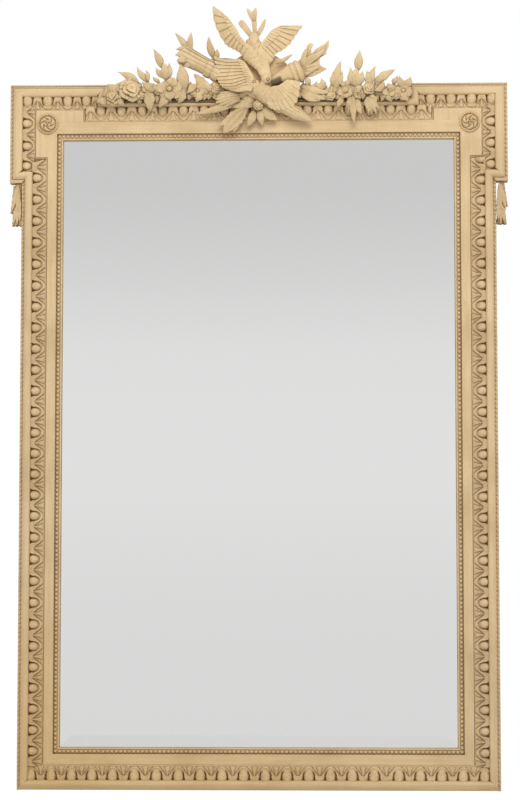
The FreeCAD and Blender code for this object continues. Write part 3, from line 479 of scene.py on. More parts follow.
def wood_finish(name, pale, deep, dirt_and_shade, grain, reach, rough=0.62, shade=0.86, specks=0.0):
    """Stripped wood: streaks along the grain, soft blotches, dirt and painted shade where the carving is hollow or
    where walls stand close, and a fine bump along the grain. The wood turns darker and warmer towards the lower left.
    Shade sets how strongly close walls darken, and specks how strongly small spots of dirt show."""
    if name in bpy.data.materials:
        return bpy.data.materials[name]
    material, nodes, links, shader = new_material(name)
    place = nodes.new("ShaderNodeTexCoord").outputs["Object"]
    streaks = sized_noise(nodes, links, place, grain, 5.0)
    tone = two_tone(nodes, links, streaks, 0.14, 0.84, deep, pale)
    blotch = sized_noise(nodes, links, place, (9.0, 9.0, 9.0), 3.0)
    blotch = two_tone(nodes, links, blotch, 0.42, 0.72, (0, 0, 0), (0.42, 0.42, 0.42))
    tone = mixed(nodes, links, blotch, tone, tuple(0.6 * a + 0.4 * b for a, b in zip(deep, dirt_and_shade)))
    # Darker and warmer towards the lower left.
    lower = nodes.new("ShaderNodeVectorMath")
    lower.operation = "DOT_PRODUCT"
    lower.inputs[1].default_value = (-0.5, 0.0, -1.0)
    links.new(place, lower.inputs[0])
    lower_left_share = two_tone(nodes, links, lower.outputs["Value"], 0.45, 1.0, (0.0,) * 3, (0.45,) * 3)
    tone = mixed(nodes, links, lower_left_share, tone, tuple(0.5 * (a + b) * c for a, b, c in zip(pale, deep, LOWER_LEFT_TINT)))
    if specks:
        spots = sized_noise(nodes, links, place, (190.0,) * 3, 3.0)
        spots = two_tone(nodes, links, spots, 0.48, 0.76, (0.0,) * 3, (specks,) * 3)
        tone = mixed(nodes, links, spots, tone, dirt_and_shade)
    # Painted shade and dirt: the wood darkens where walls stand close.
    close = nodes.new("ShaderNodeAmbientOcclusion")
    close.samples = 6
    close.inputs["Distance"].default_value = reach
    close_wall_shade_and_dirt = two_tone(nodes, links, close.outputs["AO"], 0.12, 0.90, (shade,) * 3, (0.0,) * 3)
    tone = mixed(nodes, links, close_wall_shade_and_dirt, tone, dirt_and_shade)
    # Painted shade and dirt: the wood darkens by the hollow value of each point.
    hollow = nodes.new("ShaderNodeAttribute")
    hollow.attribute_name = "hollow"
    hollow_shade_and_dirt = two_tone(nodes, links, hollow.outputs["Fac"], 0.1, 1.0, (0.0,) * 3, (0.80,) * 3)
    tone = mixed(nodes, links, hollow_shade_and_dirt, tone, dirt_and_shade)
    links.new(tone, shader.inputs["Base Color"])
    shader.inputs["Roughness"].default_value = rough
    shader.inputs["Specular IOR Level"].default_value = 0.28
    fine = sized_noise(nodes, links, place, tuple(4.0 * value for value in grain), 4.0)
    bump = nodes.new("ShaderNodeBump")
    bump.inputs["Strength"].default_value = 0.25
    bump.inputs["Distance"].default_value = 0.0006
    links.new(fine, bump.inputs["Height"])
    links.new(bump.outputs["Normal"], shader.inputs["Normal"])
    return material


def carved_wood(finish, grain):
    """The pale carved wood, with its grain upright, level or in every direction."""
    scales = {"upright": (170.0, 170.0, 9.0), "level": (9.0, 170.0, 170.0), "carved": (60.0, 60.0, 42.0),
              "crest": (60.0, 60.0, 42.0)}
    reach = {"upright": 0.006, "level": 0.006, "carved": 0.007, "crest": 0.016}
    pale, deep, dirt_and_shade = np.array(finish.pale_wood), np.array(finish.deep_wood), tuple(finish.carving_dirt_and_shade)
    if grain == "crest":
        pale, deep = pale * np.array(finish.crest_tint), deep * np.array(finish.crest_tint)
        dirt_and_shade = tuple(finish.crest_dirt_and_shade)
    shade = {"carved": 0.70, "crest": 0.46}.get(grain, 0.66)
    specks = {"carved": 0.36, "crest": 0.19}.get(grain, 0.06)
    return wood_finish("carved_wood_" + grain, tuple(pale), tuple(deep), dirt_and_shade, scales[grain], reach[grain],
                       shade=shade, specks=specks)


def back_wood(finish, grain):
    """Darker unfinished softwood of the back."""
    scales = {"upright": (120.0, 120.0, 6.0), "level": (6.0, 120.0, 120.0)}
    base = np.array(finish.back_wood)
    return wood_finish("back_wood_" + grain, tuple(base * 1.12), tuple(base * 0.78),
                       tuple(base * 0.35), scales[grain], 0.01, 0.75)


def plain_metal(name, colour, rough):
    """Metal of one colour whose gloss varies in small patches."""
    if name in bpy.data.materials:
        return bpy.data.materials[name]
    material, nodes, links, shader = new_material(name)
    place = nodes.new("ShaderNodeTexCoord").outputs["Object"]
    patch = sized_noise(nodes, links, place, (220.0,) * 3, 4.0)
    shine = two_tone(nodes, links, patch, 0.3, 0.7, (rough * 0.8,) * 3, (rough * 1.25,) * 3)
    links.new(shine, shader.inputs["Roughness"])
    tone = two_tone(nodes, links, patch, 0.3, 0.75, tuple(0.6 * value for value in colour), colour)
    links.new(tone, shader.inputs["Base Color"])
    shader.inputs["Metallic"].default_value = 1.0
    return material


def dress(node, material):
    """Gives a frame node a better finish."""
    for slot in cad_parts[node].material_slots:
        slot.material = material


class MIRROR_OT_back(bpy.types.Operator):
    """Finishes the carcase, the back boards, the hangers and the screws"""

    bl_idname = "mirror.back"
    bl_label = "Carcase and back"

    def execute(self, context):
        finish = context.scene.mirror_finish
        for node in ("stile_left", "stile_right", "ear_blocks_left", "ear_blocks_right", "glass_blocks"):
            dress(node, back_wood(finish, "upright"))
        for node in ("rail_top", "rail_bottom", "frame_pegs", "back_board_lower", "back_board_middle",
                     "back_board_upper"):
            dress(node, back_wood(finish, "level"))
        dress("crest_core", carved_wood(finish, "crest"))
        brass = plain_metal("hanger_brass", tuple(finish.brass), 0.38)
        for node in ("hanger_straps", "hanger_ring_left", "hanger_ring_right"):
            dress(node, brass)
        steel = plain_metal("screw_steel", tuple(finish.steel), 0.42)
        for node in ("back_screws", "hanger_screws"):
            dress(node, steel)
        return {"FINISHED"}


class MIRROR_OT_glass(bpy.types.Operator):
    """Silvers the bevelled glass"""

    bl_idname = "mirror.glass"
    bl_label = "Bevelled glass"

    def execute(self, context):
        material, nodes, links, shader = new_material("silvered_glass")
        shader.inputs["Base Color"].default_value = (*context.scene.mirror_finish.silver, 1.0)
        shader.inputs["Metallic"].default_value = 1.0
        shader.inputs["Roughness"].default_value = 0.03
        dress("mirror_glass", material)
        return {"FINISHED"}


def field_profile(arris, width, dirt_and_shade):
    """Sight lip, pearl channel and plain field, measured outwards from the sight edge, with the hollow value
    of each point. The last value is the hollow value of the channel's outer half, a painted shade and dirt there."""
    edge_in, lip, channel = 0.0030, 0.0062, 0.0165
    lip_front = CHANNEL + 0.0022
    level = FIELD_FACE - 0.00015
    rows = ((edge_in, LIP_BACK, 0), (edge_in, lip_front - 0.0006, arris), (lip, lip_front, arris),
            (lip, CHANNEL, 0.0004), (channel, CHANNEL, 0.0004), (channel, FIELD_FACE + 0.0004, 1.2 * arris),
            (channel + 0.0035, level, 0.002), (width, level, 0), (width, FACE, 0), (0.010, FACE, 0),
            (0.010, LIP_BACK, 0))
    profile = worn_profile(rows)
    # Painted shade and dirt in the channel, strongest in its outer half.
    sunk = (profile[:, 0] > lip - 0.0002) & (profile[:, 0] < channel + 0.0002) & (profile[:, 1] < CHANNEL + 0.0008)
    return profile * np.array((-1.0, 1.0)), np.where(profile[:, 0] > 0.5 * (lip + channel), dirt_and_shade, 0.2 * dirt_and_shade) * sunk


class MIRROR_OT_fields(bpy.types.Operator):
    """Carries the lip, channel and plain field round the glass"""

    bl_idname = "mirror.fields"
    bl_label = "Plain field round the glass"

    def execute(self, context):
        sizes, finish = context.scene.mirror_mouldings, context.scene.mirror_finish
        for name, run in INNER.items():
            top = name == "top"
            # Painted shade and dirt in the channel, much lighter at the top.
            profile, sunk = field_profile(sizes.arris, TOP_MEMBER_W if top else MEMBER_W, 0.1 if top else 0.7)
            grid = run.carry(profile)
            limit = SIGHT_X + MEMBER_W
            grid[..., 0] = np.clip(grid[..., 0], -limit, limit)
            carving = Carving()
            carving.add_round(grid, np.stack((sunk, sunk)))
            grain = "upright" if name in ("left", "right") else "level"
            carving.build("plain_field_" + name, carved_wood(finish, grain), "mirror",
                          ["field_" + name], sharp=40.0)
        for side in ("left", "right"):
            dress("corner_field_" + side, carved_wood(finish, "upright"))
        return {"FINISHED"}


def beads_between(run, first, last, pitch, inward):
    """Places of beads along a run, evenly spaced between two distances."""
    count = max(2, int(round((last - first) / pitch)) + 1)
    return run.place(np.linspace(first, last, count), inward, 0.0)


class MIRROR_OT_pearls(bpy.types.Operator):
    """Strings pearls along the channel round the glass"""

    bl_idname = "mirror.pearls"
    bl_label = "Pearl strings"

    def execute(self, context):
        sizes, finish = context.scene.mirror_mouldings, context.scene.mirror_finish
        shape, quads = dome(PEARL_R)
        for name, run in INNER.items():
            upright = name in ("left", "right")
            reach = -PEARL_IN if not upright else -PEARL_IN + sizes.pearl_pitch
            places = beads_between(run, reach, run.length - reach, sizes.pearl_pitch, -PEARL_IN)
            carving = Carving()
            carving.add_copies(shape, quads, places - np.array((0.0, CHANNEL - 0.0003, 0.0)))
            carving.build("pearl_string_" + name, carved_wood(finish, "carved"), "mirror",
                          ["pearls_" + name], sharp=70.0)
        return {"FINISHED"}


def band_edges(length):
    """Inward distances of the outer and the inner edge of the egg and dart on a length of the outer moulding."""
    if length == "bottom":
        return EGG_OUT - 0.0022, EGG_IN + 0.0003
    return EGG_OUT + (0.0036 if length.startswith("ear") else 0.0), EGG_IN + 0.0025


def cornice_profile(length, arris):
    """The profile of a length of the outer moulding, measured inwards from its outer edge, with the hollow value of
    each point: the edge, an ovolo, the sunk ground of the egg and dart, a quirk and a thin lap over the plain
    field. The edge is a ledge for the beads with a slope behind it, or at the top a fillet and a groove; under the
    ears a fillet and a groove; and at the foot of the frame a plain round."""
    out, far = band_edges(length)
    beaded = not length.startswith(("foot", "bottom"))
    quirk, dark = {"bottom": (0.0006, 0.3), "top": (0.0009, 0.2)}.get(length.split("_")[-2 if "_" in length else 0],
                                                                      (0.0026, 0.7))
    if length.endswith(("left", "right")) and "top" not in length and beaded:
        edge = ((0.0, FACE, 0), (0.0, RIM_FLOOR - 0.0003, arris), (0.0058, RIM_FLOOR, 0.0006),
                (0.0086, FRONT - 0.0048, 0.002), (0.0100, FRONT - 0.0034, 0.001), (0.0140, FRONT - 0.0002, 0.003))
    elif beaded:
        edge = ((0.0, FACE, 0), (0.0, RIM_FLOOR - 0.0003, arris), (0.0066, RIM_FLOOR, 0.0004),
                (0.0066, FRONT - 0.0050, arris), (0.0086, FRONT - 0.0042, arris), (0.0092, FRONT - 0.0054, 0.0003),
                (0.0097, FRONT - 0.0054, 0.0003), (0.0105, FRONT - 0.0030, 0.0006), (0.0140, FRONT - 0.0002, 0.003))
    elif length == "bottom":
        edge = ((0.0, FACE, 0), (0.0006, FACE + 0.0040, 0.001), (0.0034, FRONT - 0.0062, 0.004),
                (0.0120, FRONT - 0.0004, 0.004))
    else:
        edge = ((0.0, FACE, 0), (0.0, FRONT - 0.0082, arris), (0.0064, FRONT - 0.0068, 0.0006),
                (0.0069, FRONT - 0.0082, 0.0003), (0.0076, FRONT - 0.0082, 0.0003), (0.0082, FRONT - 0.0052, 0.0006),
                (0.0140, FRONT - 0.0002, 0.003))
    rows = (*edge, (out - 0.0055, FRONT, 0.003), (out - 0.0010, FRONT - 0.0018, 0.002),
            (out + 0.0012, FRONT - 0.0058, 0.0022), (out + 0.0014, GROUND, 0.0003),
            (far, GROUND, 0.0003), (far, FIELD_FACE, 0.0004), (far + 0.0014, FIELD_FACE + 0.0004, 0.0008),
            (far + 0.0022, FIELD_FACE - quirk, 0.0003), (far + 0.0034, FIELD_FACE - quirk, 0.0003),
            (far + 0.0040, FIELD_FACE + 0.0002, arris), (EGG_IN + 0.0104, FIELD_FACE - 0.0001, 0.0003),
            (EGG_IN + 0.0106, FIELD_FACE - 0.0044, 0), (OUTER_W, FIELD_FACE - 0.0044, 0), (OUTER_W, FACE, 0))
    profile = worn_profile(rows)
    inward, depth = profile.T
    # Painted shade on the ledge of the rim beads, nearly black at the top under the crest, and in the quirk.
    shelf = (inward > 0.0012) & (inward < 0.0068) & (np.abs(depth - RIM_FLOOR) < 0.0006) & beaded
    sunk = (inward > far + 0.0019) & (inward < far + 0.0037) & (depth < FIELD_FACE - 0.6 * quirk)
    return profile, (0.95 if "top" in length else 0.12) * shelf + dark * sunk


CORNICE_PIECES = {
    "left": (("left",), "upright"), "right": (("right",), "upright"), "bottom": (("bottom",), "level"),
    "top": (("top",), "level"), "ear_side_left": (("ear_side_left",), "upright"),
    "ear_side_right": (("ear_side_right",), "upright"), "ear_top_left": (("ear_top_left",), "level"),
    "ear_top_right": (("ear_top_right",), "level"),
    "returns_left": (("foot_left", "end_left"), "upright"),
    "returns_right": (("foot_right", "end_right"), "upright"),
}


class MIRROR_OT_cornice(bpy.types.Operator):
    """Carries the outer moulding round the frame and its ears"""

    bl_idname = "mirror.cornice"
    bl_label = "Outer moulding"

    def execute(self, context):
        sizes, finish = context.scene.mirror_mouldings, context.scene.mirror_finish
        for name, (lengths, grain) in CORNICE_PIECES.items():
            carving = Carving()
            for length in lengths:
                profile, sunk = cornice_profile(length, sizes.arris)
                carving.add_round(OUTER[length].carry(profile), np.stack((sunk, sunk)))
            carving.build("outer_moulding_" + name, carved_wood(finish, grain), "mirror",
                          ["cornice_" + name], sharp=40.0)
        return {"FINISHED"}


def egg_relief(along, inward, pitch, height, bold, dirt_and_shade):
    """Height and hollow of the egg and dart.

    along is measured from the middle of an egg, inward from the outer edge of the band, and aside from the
    middle of the dart. r is the distance from the egg's middle in egg radii, and the egg rises as the root of
    1 - r squared. q is the same for the shell round it, whose sides run straight to the outer edge, so that the
    gap between the two opens to a dark pocket at the outer corners and grows shallow inwards. The shell has a
    raised clean lip. Between two shells lies a leaf, a V that opens inwards, with a rib and two cuts. The whole
    band leans back towards its inner edge. Bold, from 0 to 1, makes the eggs longer and wider, and
    the last value is the hollow value between the shells, a painted shade and dirt there."""
    share = np.minimum(1.0, pitch / 0.0465)
    middle = 0.0100
    outer = inward < middle
    r = np.hypot(along / ((0.0098 + 0.0018 * bold) * share),
                 (inward - middle) / np.where(outer, 0.0113 + 0.0090 * bold, 0.0122 + 0.0020 * bold))
    q = np.hypot(along / ((0.0106 + 0.0018 * bold) * share),
                 (inward - middle) / np.where(outer, 0.0260, 0.0136 + 0.0020 * bold))
    egg = height * np.sqrt(np.clip(1 - r**2.3, 0, None))
    beyond = q - 1 - (0.26 - 0.08 * bold) * step(0.0090, 0.0, inward)
    closed = step(0.006 + 0.011 * bold, 0.014 + 0.009 * bold, inward)
    lip = np.exp(-((beyond - 0.20) / 0.10)**2) * step(0.003, 0.008, inward)
    shell = 0.0076 * (1 - np.exp(-np.clip(beyond, 0, None) / 0.07)) + 0.0020 * lip
    aside = np.abs(np.abs(along) - 0.5 * pitch)
    fork = 0.80 * share * (inward - 0.0090)
    inside = step(0.0002, 0.0012, fork - aside) * (q > 1.15)
    leaf = 0.0044 + 0.0040 * np.clip(1 - aside / np.maximum(fork, 0.002), 0, 1)
    shell = shell * (1 - inside) + leaf * inside
    groove = np.exp(-((aside - fork) / 0.0012)**2) * step(0.0090, 0.0130, inward) * (q > 1.2)
    groove = np.maximum(groove, 0.8 * np.exp(-((aside - 0.42 * fork) / 0.0009)**2) * step(0.0140, 0.0190, inward))
    lean = 1 - 0.5 * np.clip(inward / 0.0315, 0, 1)**1.6
    rise = np.maximum(np.maximum(egg, shell), 0.0004 + (0.0022 + 0.0030 * bold) * closed)
    rise = np.maximum(rise - 0.0040 * groove, 0.0004)
    # Painted shade round each egg, in the grooves and along the outer edge; painted shade and dirt on the ground.
    gap = step(0.97, 1.04, r) * step(0.05, -0.02, beyond) * (1 - (0.55 + 0.35 * bold) * closed)
    ground = dirt_and_shade * step(0.28, 0.42, beyond)
    hollow = np.maximum(gap, ground) + 2.2 * dirt_and_shade * groove + 0.3 * step(0.0022, 0.0010, inward) * (r > 1)
    return rise * lean, np.clip(hollow, 0, 1)


def egg_band(carving, length, first, last, sizes):
    """A strip of egg and dart between two distances along a length of moulding, as a height over its
    ground. A few eggs, counted along the length, are set out at their marks in millimetres, and the rest
    are even between two marks. The first and the last spacing are repeated beyond the ends."""
    marks = EGG_MARKS[length]
    middles = np.interp(np.arange(max(marks) + 1), list(marks), list(marks.values())) * MM
    gaps = np.diff(middles)
    middles = np.concatenate((middles[0] - gaps[0] * np.arange(2, 0, -1), middles,
                              middles[-1] + gaps[-1] * np.arange(1, 3)))
    out, far = band_edges(length)
    rows = max(8, int(round((last - first) / sizes.carving_step)))
    along = np.linspace(0, last - first, rows + 1)[:, None]
    inward = np.linspace(0, far - out, int(round((far - out) / sizes.carving_step)) + 1)[None]
    place = np.interp(along, middles, np.arange(len(middles)))
    pitch = np.diff(middles)[np.minimum(place.astype(int), len(middles) - 2)]
    bold = abs(OUTER[length].along[0]) * (0.4 if length == "top" else 1.0)
    # Painted shade and dirt between the shells, much lighter on the top length.
    dirt_and_shade = 0.08 if length == "top" else 0.30 - 0.10 * bold
    rise, hollow = egg_relief((place - np.round(place)) * pitch, inward, pitch, sizes.egg_height, bold, dirt_and_shade)
    floor = np.full((rows + 1, 1), GROUND)
    depth = np.hstack((floor, GROUND + 0.0006 + rise, floor))
    # The strip's two side walls are fully darkened, a painted shade.
    hollow = np.hstack((floor * 0 + 1, hollow, floor * 0 + 1))
    inward = np.hstack(([[0.0]], inward, [[far - out]])) + out
    carving.add_round(OUTER[length].place(along + first, inward, depth), hollow)


EGG_STRIPS = {
    "left": (("left", -EGG_IN, -EGG_IN),), "right": (("right", EGG_IN, EGG_IN),),
    "top": (("top", -EGG_IN, EGG_IN),), "bottom": (("bottom", EGG_OUT, -EGG_OUT),),
    "ear_left": (("ear_side_left", EGG_IN, -EGG_OUT), ("ear_top_left", EGG_OUT, -EGG_OUT)),
    "ear_right": (("ear_side_right", EGG_OUT, -EGG_IN), ("ear_top_right", EGG_OUT, -EGG_OUT)),
}
EGG_MARKS = {
    "left": {0: 42, 5: 288, 11: 573, 16: 806, 22: 1096, 27: 1327},
    "right": {0: 31, 14: 690, 27: 1310},
    "bottom": {0: 7, 4: 189, 8: 384, 16: 768, 17: 823, 21: 1012},
    "top": {0: 45, 15: 748},
    "ear_side_left": {0: 36, 1: 88, 2: 133},
    "ear_top_left": {0: 28, 1: 70, 3: 162},
    "ear_side_right": {0: 14, 2: 112},
    "ear_top_right": {0: 11, 3: 149},
}


class MIRROR_OT_eggs(bpy.types.Operator):
    """Carves the egg and dart in the sunk band of the outer moulding"""

    bl_idname = "mirror.eggs"
    bl_label = "Egg and dart"

    def execute(self, context):
        sizes, finish = context.scene.mirror_mouldings, context.scene.mirror_finish
        for name, lengths in EGG_STRIPS.items():
            carving = Carving()
            for length, first, beyond in lengths:
                egg_band(carving, length, first, OUTER[length].length + beyond, sizes)
            carving.build("egg_and_dart_" + name, carved_wood(finish, "carved"), "mirror",
                          ["egg_dart_" + name], sharp=60.0)
        return {"FINISHED"}


class MIRROR_OT_rim(bpy.types.Operator):
    """Sets small beads along the outer edge of the sides and the top"""

    bl_idname = "mirror.rim"
    bl_label = "Rim beads"

    def execute(self, context):
        sizes, finish = context.scene.mirror_mouldings, context.scene.mirror_finish
        inward = 0.0033
        groups = {"left": ("ear_side_left", "left"), "right": ("right", "ear_side_right"),
                  "top": ("ear_top_right", "end_right", "top", "end_left", "ear_top_left")}
        for name, lengths in groups.items():
            carving = Carving()
            for length in lengths:
                run = OUTER[length]
                shape, quads = dome(0.0031)
                stretch = np.where(np.abs(run.along[[0, 0, 1]]) * np.array((1, 0, 1)) > 0.5, 1.12, 1.0)
                places = beads_between(run, inward, run.length - inward, sizes.rim_pitch, inward)
                carving.add_copies(shape * stretch, quads, places - np.array((0.0, RIM_FLOOR - 0.0002, 0.0)))
            carving.build("rim_bead_string_" + name, carved_wood(finish, "carved"), "mirror",
                          ["rim_beads_" + name], sharp=70.0)
        return {"FINISHED"}


def rosette_grid(centre_x, centre_z, radius, hand):
    """A round patera over its ground: a rope round the rim, outer petals that swirl, inner petals and a button,
    each a bump of the distance from the middle times a wave of the angle."""
    share = np.linspace(0.02, 1.0, 40)[:, None]
    angle = np.linspace(0, TURN, 160, endpoint=False)[None]
    strands = 0.82 + 0.18 * np.cos(19 * angle * hand + 24 * share)
    rope = 0.0060 * np.exp(-(np.abs(share - 0.88) / 0.10)**2.6) * strands
    outer_wave = np.abs(np.cos(3.0 * (angle * hand + 1.7 * share + 0.4)))**0.6
    outer = 0.0080 * np.sin(PI * np.clip((share - 0.20) / 0.58, 0, 1))**0.7 * (0.30 + 0.70 * outer_wave)
    inner_wave = np.abs(np.cos(1.5 * (angle * hand - 3.2 * share)))**0.6
    inner = 0.0104 * np.sin(PI * np.clip((share - 0.02) / 0.38, 0, 1))**0.8 * (0.40 + 0.60 * inner_wave)
    button = 0.0112 * np.sqrt(np.clip(1 - (share / 0.13)**2, 0, 1))
    rise = np.maximum.reduce(np.broadcast_arrays(rope, outer, inner, button))
    # Painted shade on the low ground between the petals and inside the rope.
    hollow = 0.26 * (1 - step(0.0010, 0.0060, rise)) * step(1.0, 0.93, share)
    rise = rise * step(1.0, 0.97, share) + 0.0004 * (share < 1)
    depth = FIELD_FACE + rise
    x = centre_x + radius * share * np.cos(angle)
    z = centre_z + radius * share * np.sin(angle)
    return np.stack(np.broadcast_arrays(x, -depth, z), axis=-1), hollow


class MIRROR_OT_rosettes(bpy.types.Operator):
    """Carves the round rosettes on the corner fields"""

    bl_idname = "mirror.rosettes"
    bl_label = "Rosettes"

    def execute(self, context):
        low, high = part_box("rosettes")
        radius = 0.5 * (high[2] - low[2])
        carving = Carving()
        for side in (LEFT, RIGHT):
            place = side * (high[0] - radius - 0.0030), low[2] + radius - 0.0046
            grid, hollow = rosette_grid(*place, 1.13 * radius, side)
            carving.add_round(grid, hollow)
        carving.build("rosette_pair", carved_wood(context.scene.mirror_finish, "carved"), "mirror",
                      ["rosettes"])
        return {"FINISHED"}


def husk(centre, length, radius, head, lobes, turn):
    """A husk: a bell round a hanging axis, flat in front, that widens evenly from its head to its foot. It is
    pressed into leaves that reach lowest at their middle, with a dark cut between two leaves, a rib down each
    and a net of small crossing cuts."""
    u = np.linspace(0.0, 1.0, 36)[:, None]
    v = np.linspace(0, TURN, 96, endpoint=False)[None]
    lobe = np.abs(np.cos(0.5 * lobes * (v + turn)))
    cut = np.exp(-(lobe / 0.26)**2) * step(0.05, 0.3, u)
    net = np.sin(PI * (4.5 * u + lobes * v / PI)) * np.sin(PI * (4.5 * u - lobes * v / PI)) * step(0.0, 0.2, u)
    reach = radius * (head + (0.92 - head) * u + 0.08 * u**4 * lobe)
    reach = np.where(u > 0.985, 0.5 * radius, reach)
    reach = reach * (1 - 0.22 * cut) + 0.0010 * np.exp(-((1 - lobe) / 0.02)**2) * step(0.1, 0.5, u) + 0.0011 * net
    drop = length * u * (1 - 0.13 * u**3 * (1 - lobe))
    # Painted shade in the cuts, at the foot, at the head and in the net of small cuts.
    hollow = np.clip(cut + step(0.96, 1.0, u) + 0.8 * step(0.16, 0.0, u) + 0.7 * step(0.0, -0.7, net), 0, 1)
    out = np.sign(np.sin(v)) * np.abs(np.sin(v))**0.55
    points = np.stack(np.broadcast_arrays(reach * np.cos(v), 0.80 * reach * out, -drop), axis=-1)
    return np.asarray(centre) + points, np.broadcast_to(hollow, points.shape[:2])


class MIRROR_OT_drops(bpy.types.Operator):
    """Hangs the husk drops under the ears"""

    bl_idname = "mirror.drops"
    bl_label = "Husk drops"

    def execute(self, context):
        low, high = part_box("husk_drops")
        length = high[2] - low[2]
        depth = 0.5 * (low[1] + high[1])
        tiers = {LEFT: ((0.0, 0.40, 9.5, 0.90, 20.5, 0.3), (0.06, 0.66, 14.3, 0.55, 15.0, 0.2),
                        (0.58, 0.42, 12.4, 0.76, 17.4, 0.7)),
                 RIGHT: ((0.0, 0.18, 8.0, 0.70, 14.0, 0.3), (0.08, 0.52, 13.2, 0.46, 13.4, 0.2),
                         (0.53, 0.47, 12.2, 0.52, 14.0, 0.7))}
        leaves = ((20, 0.02, 9, 0.46, 10), (17, 0.08, 5, 0.70, 11), (21, 0.10, 16, 0.74, 11), (22, 0.30, 22, 0.80, 9),
                  (15, 0.52, 9, 0.99, 10), (18, 0.56, 17, 1.00, 10), (22, 0.50, 23, 0.93, 9))
        carving = Carving()
        for side in (LEFT, RIGHT):
            for share, size, radius, head, inset, turn in tiers[side]:
                top = (side * (EAR_X - inset * MM), depth, high[2] - share * length)
                carving.add_round(*husk(top, size * length, radius * MM, head, 5, turn))
            for inset, share, tip_inset, tip_share, width in leaves:
                ends = [np.array((side * (EAR_X - x * MM), low[1] + lift, high[2] - z * length))
                        for x, z, lift in ((inset, share, 0.0044), (tip_inset, tip_share, 0.0030))]
                carving.add_round(*blade(*ends, width * MM, 0.006, rib=0.0016, veins=4.0, arch=0.0015, slim=1.1))
        carving.build("husk_drop_pair", carved_wood(context.scene.mirror_finish, "carved"), "mirror",
                      ["husk_drops"])
        return {"FINISHED"}


def crest_leaf(carving, sizes, tail, tip, width, rise, tip_rise, shade=0.0, **shape):
    """A veined leaf between two crest places, darkened all over by shade."""
    values = dict(full=0.42, rib=0.0018, veins=4.0, cup=-0.16, arch=0.005)
    values.update(shape)
    points, dark = blade(crest(*tail, rise), crest(*tip, tip_rise), width * MM, sizes.leaf_thickness, **values)
    carving.add_round(points, np.clip(dark + shade, 0, 1))


def flower(carving, sizes, x, z, rise, radius, turn=0.0, lean=(0.0, 0.0), petals=5):
    """A rose: rings of cupped petals, each ring smaller, steeper and half a petal further round, with a
    button in the middle. Lean tips the whole flower sideways and upwards."""
    tip_x, tip_z = lean
    facing = unit(np.array((tip_x, -1.0, tip_z)))
    right = unit(np.cross((0.0, 0.0, 1.0), facing))
    up = np.cross(facing, right)
    centre = crest(x, z, rise)
    size = radius * MM
    thick = sizes.petal_thickness * (0.45 + 0.6 * radius / 22)
    for ring, (count, reach, start, low, high, wide) in enumerate((
            (petals, 1.0, 0.20, 0.02, 0.10, 1.32), (petals - 1, 0.68, 0.14, 0.20, 0.46, 0.98),
            (3, 0.38, 0.06, 0.34, 0.66, 0.66))):
        for k in range(count):
            angle = turn + TURN * (k + 0.5 * ring) / count
            way = np.cos(angle) * right + np.sin(angle) * up
            tail = centre + size * (start * way + low * facing)
            tip = centre + size * (reach * way + high * facing)
            carving.add_round(*blade(tail, tip, wide * size, thick, full=0.62, cup=0.32, curl=-0.16 * size,
                                     arch=0.10 * size, rib=-0.0010, face=facing, rows=9, ring=12))
    # The button is darkened a little, a painted shade deep in the rose.
    carving.add_round(ball(centre + size * 0.42 * facing, 0.18 * size, rings=6, ring=10), 0.3)


def blossom(carving, sizes, x, z, rise, radius, turn=0.0):
    """An open flower: seven broad wavy petals, every other one lower, round a low button."""
    centre, size = crest(x, z, rise), radius * MM
    for k in range(7):
        angle = turn + TURN * k / 7
        way = np.array((np.cos(angle), 0.0, np.sin(angle)))
        lift = VIEWER * (0.24 if k % 2 else 0.06) * size
        carving.add_round(*blade(centre + 0.10 * size * way, centre + size * (1.0 - 0.1 * (k % 3)) * way + lift,
                                 0.86 * size, sizes.petal_thickness * 1.2, full=0.60, cup=0.12, arch=0.10 * size,
                                 curl=-0.14 * size, rib=0.0016, lobes=3, notch=0.14, rows=14, ring=14))
    # The button is darkened a little, a painted shade among the petals.
    carving.add_round(ball(centre + 0.20 * size * VIEWER, 0.20 * size, 8, 14, (1.0, 0.7, 1.0)), 0.12)


def sprays(carving, sizes, line, count, seed):
    """Small leaves that fill a garland from behind: two of three leave its stem upwards and the third downwards,
    each with its own lean, length and width from a fixed row of random numbers."""
    draw = np.random.default_rng(seed)
    spots = smooth_line(np.asarray(line, float), count)
    for k, (x, z, rise) in enumerate(spots):
        way = 1.0 if k % 3 else -1.0
        lean = draw.uniform(-1.1, 1.1)
        length = draw.uniform(20, 34) if way > 0 else draw.uniform(11, 16)
        tip = (x + length * np.sin(lean), z + way * length * np.cos(lean))
        crest_leaf(carving, sizes, (x, z - 4 * way), tip, draw.uniform(10, 17), 3.5 + draw.uniform(0, 5),
                   3.0 + draw.uniform(0, 8), shade=draw.uniform(0.0, 0.15), bow=draw.uniform(-0.004, 0.004),
                   curl=draw.uniform(-0.003, 0.002), lobes=int(draw.integers(0, 2)) * 3, notch=0.2, rows=12, ring=12)


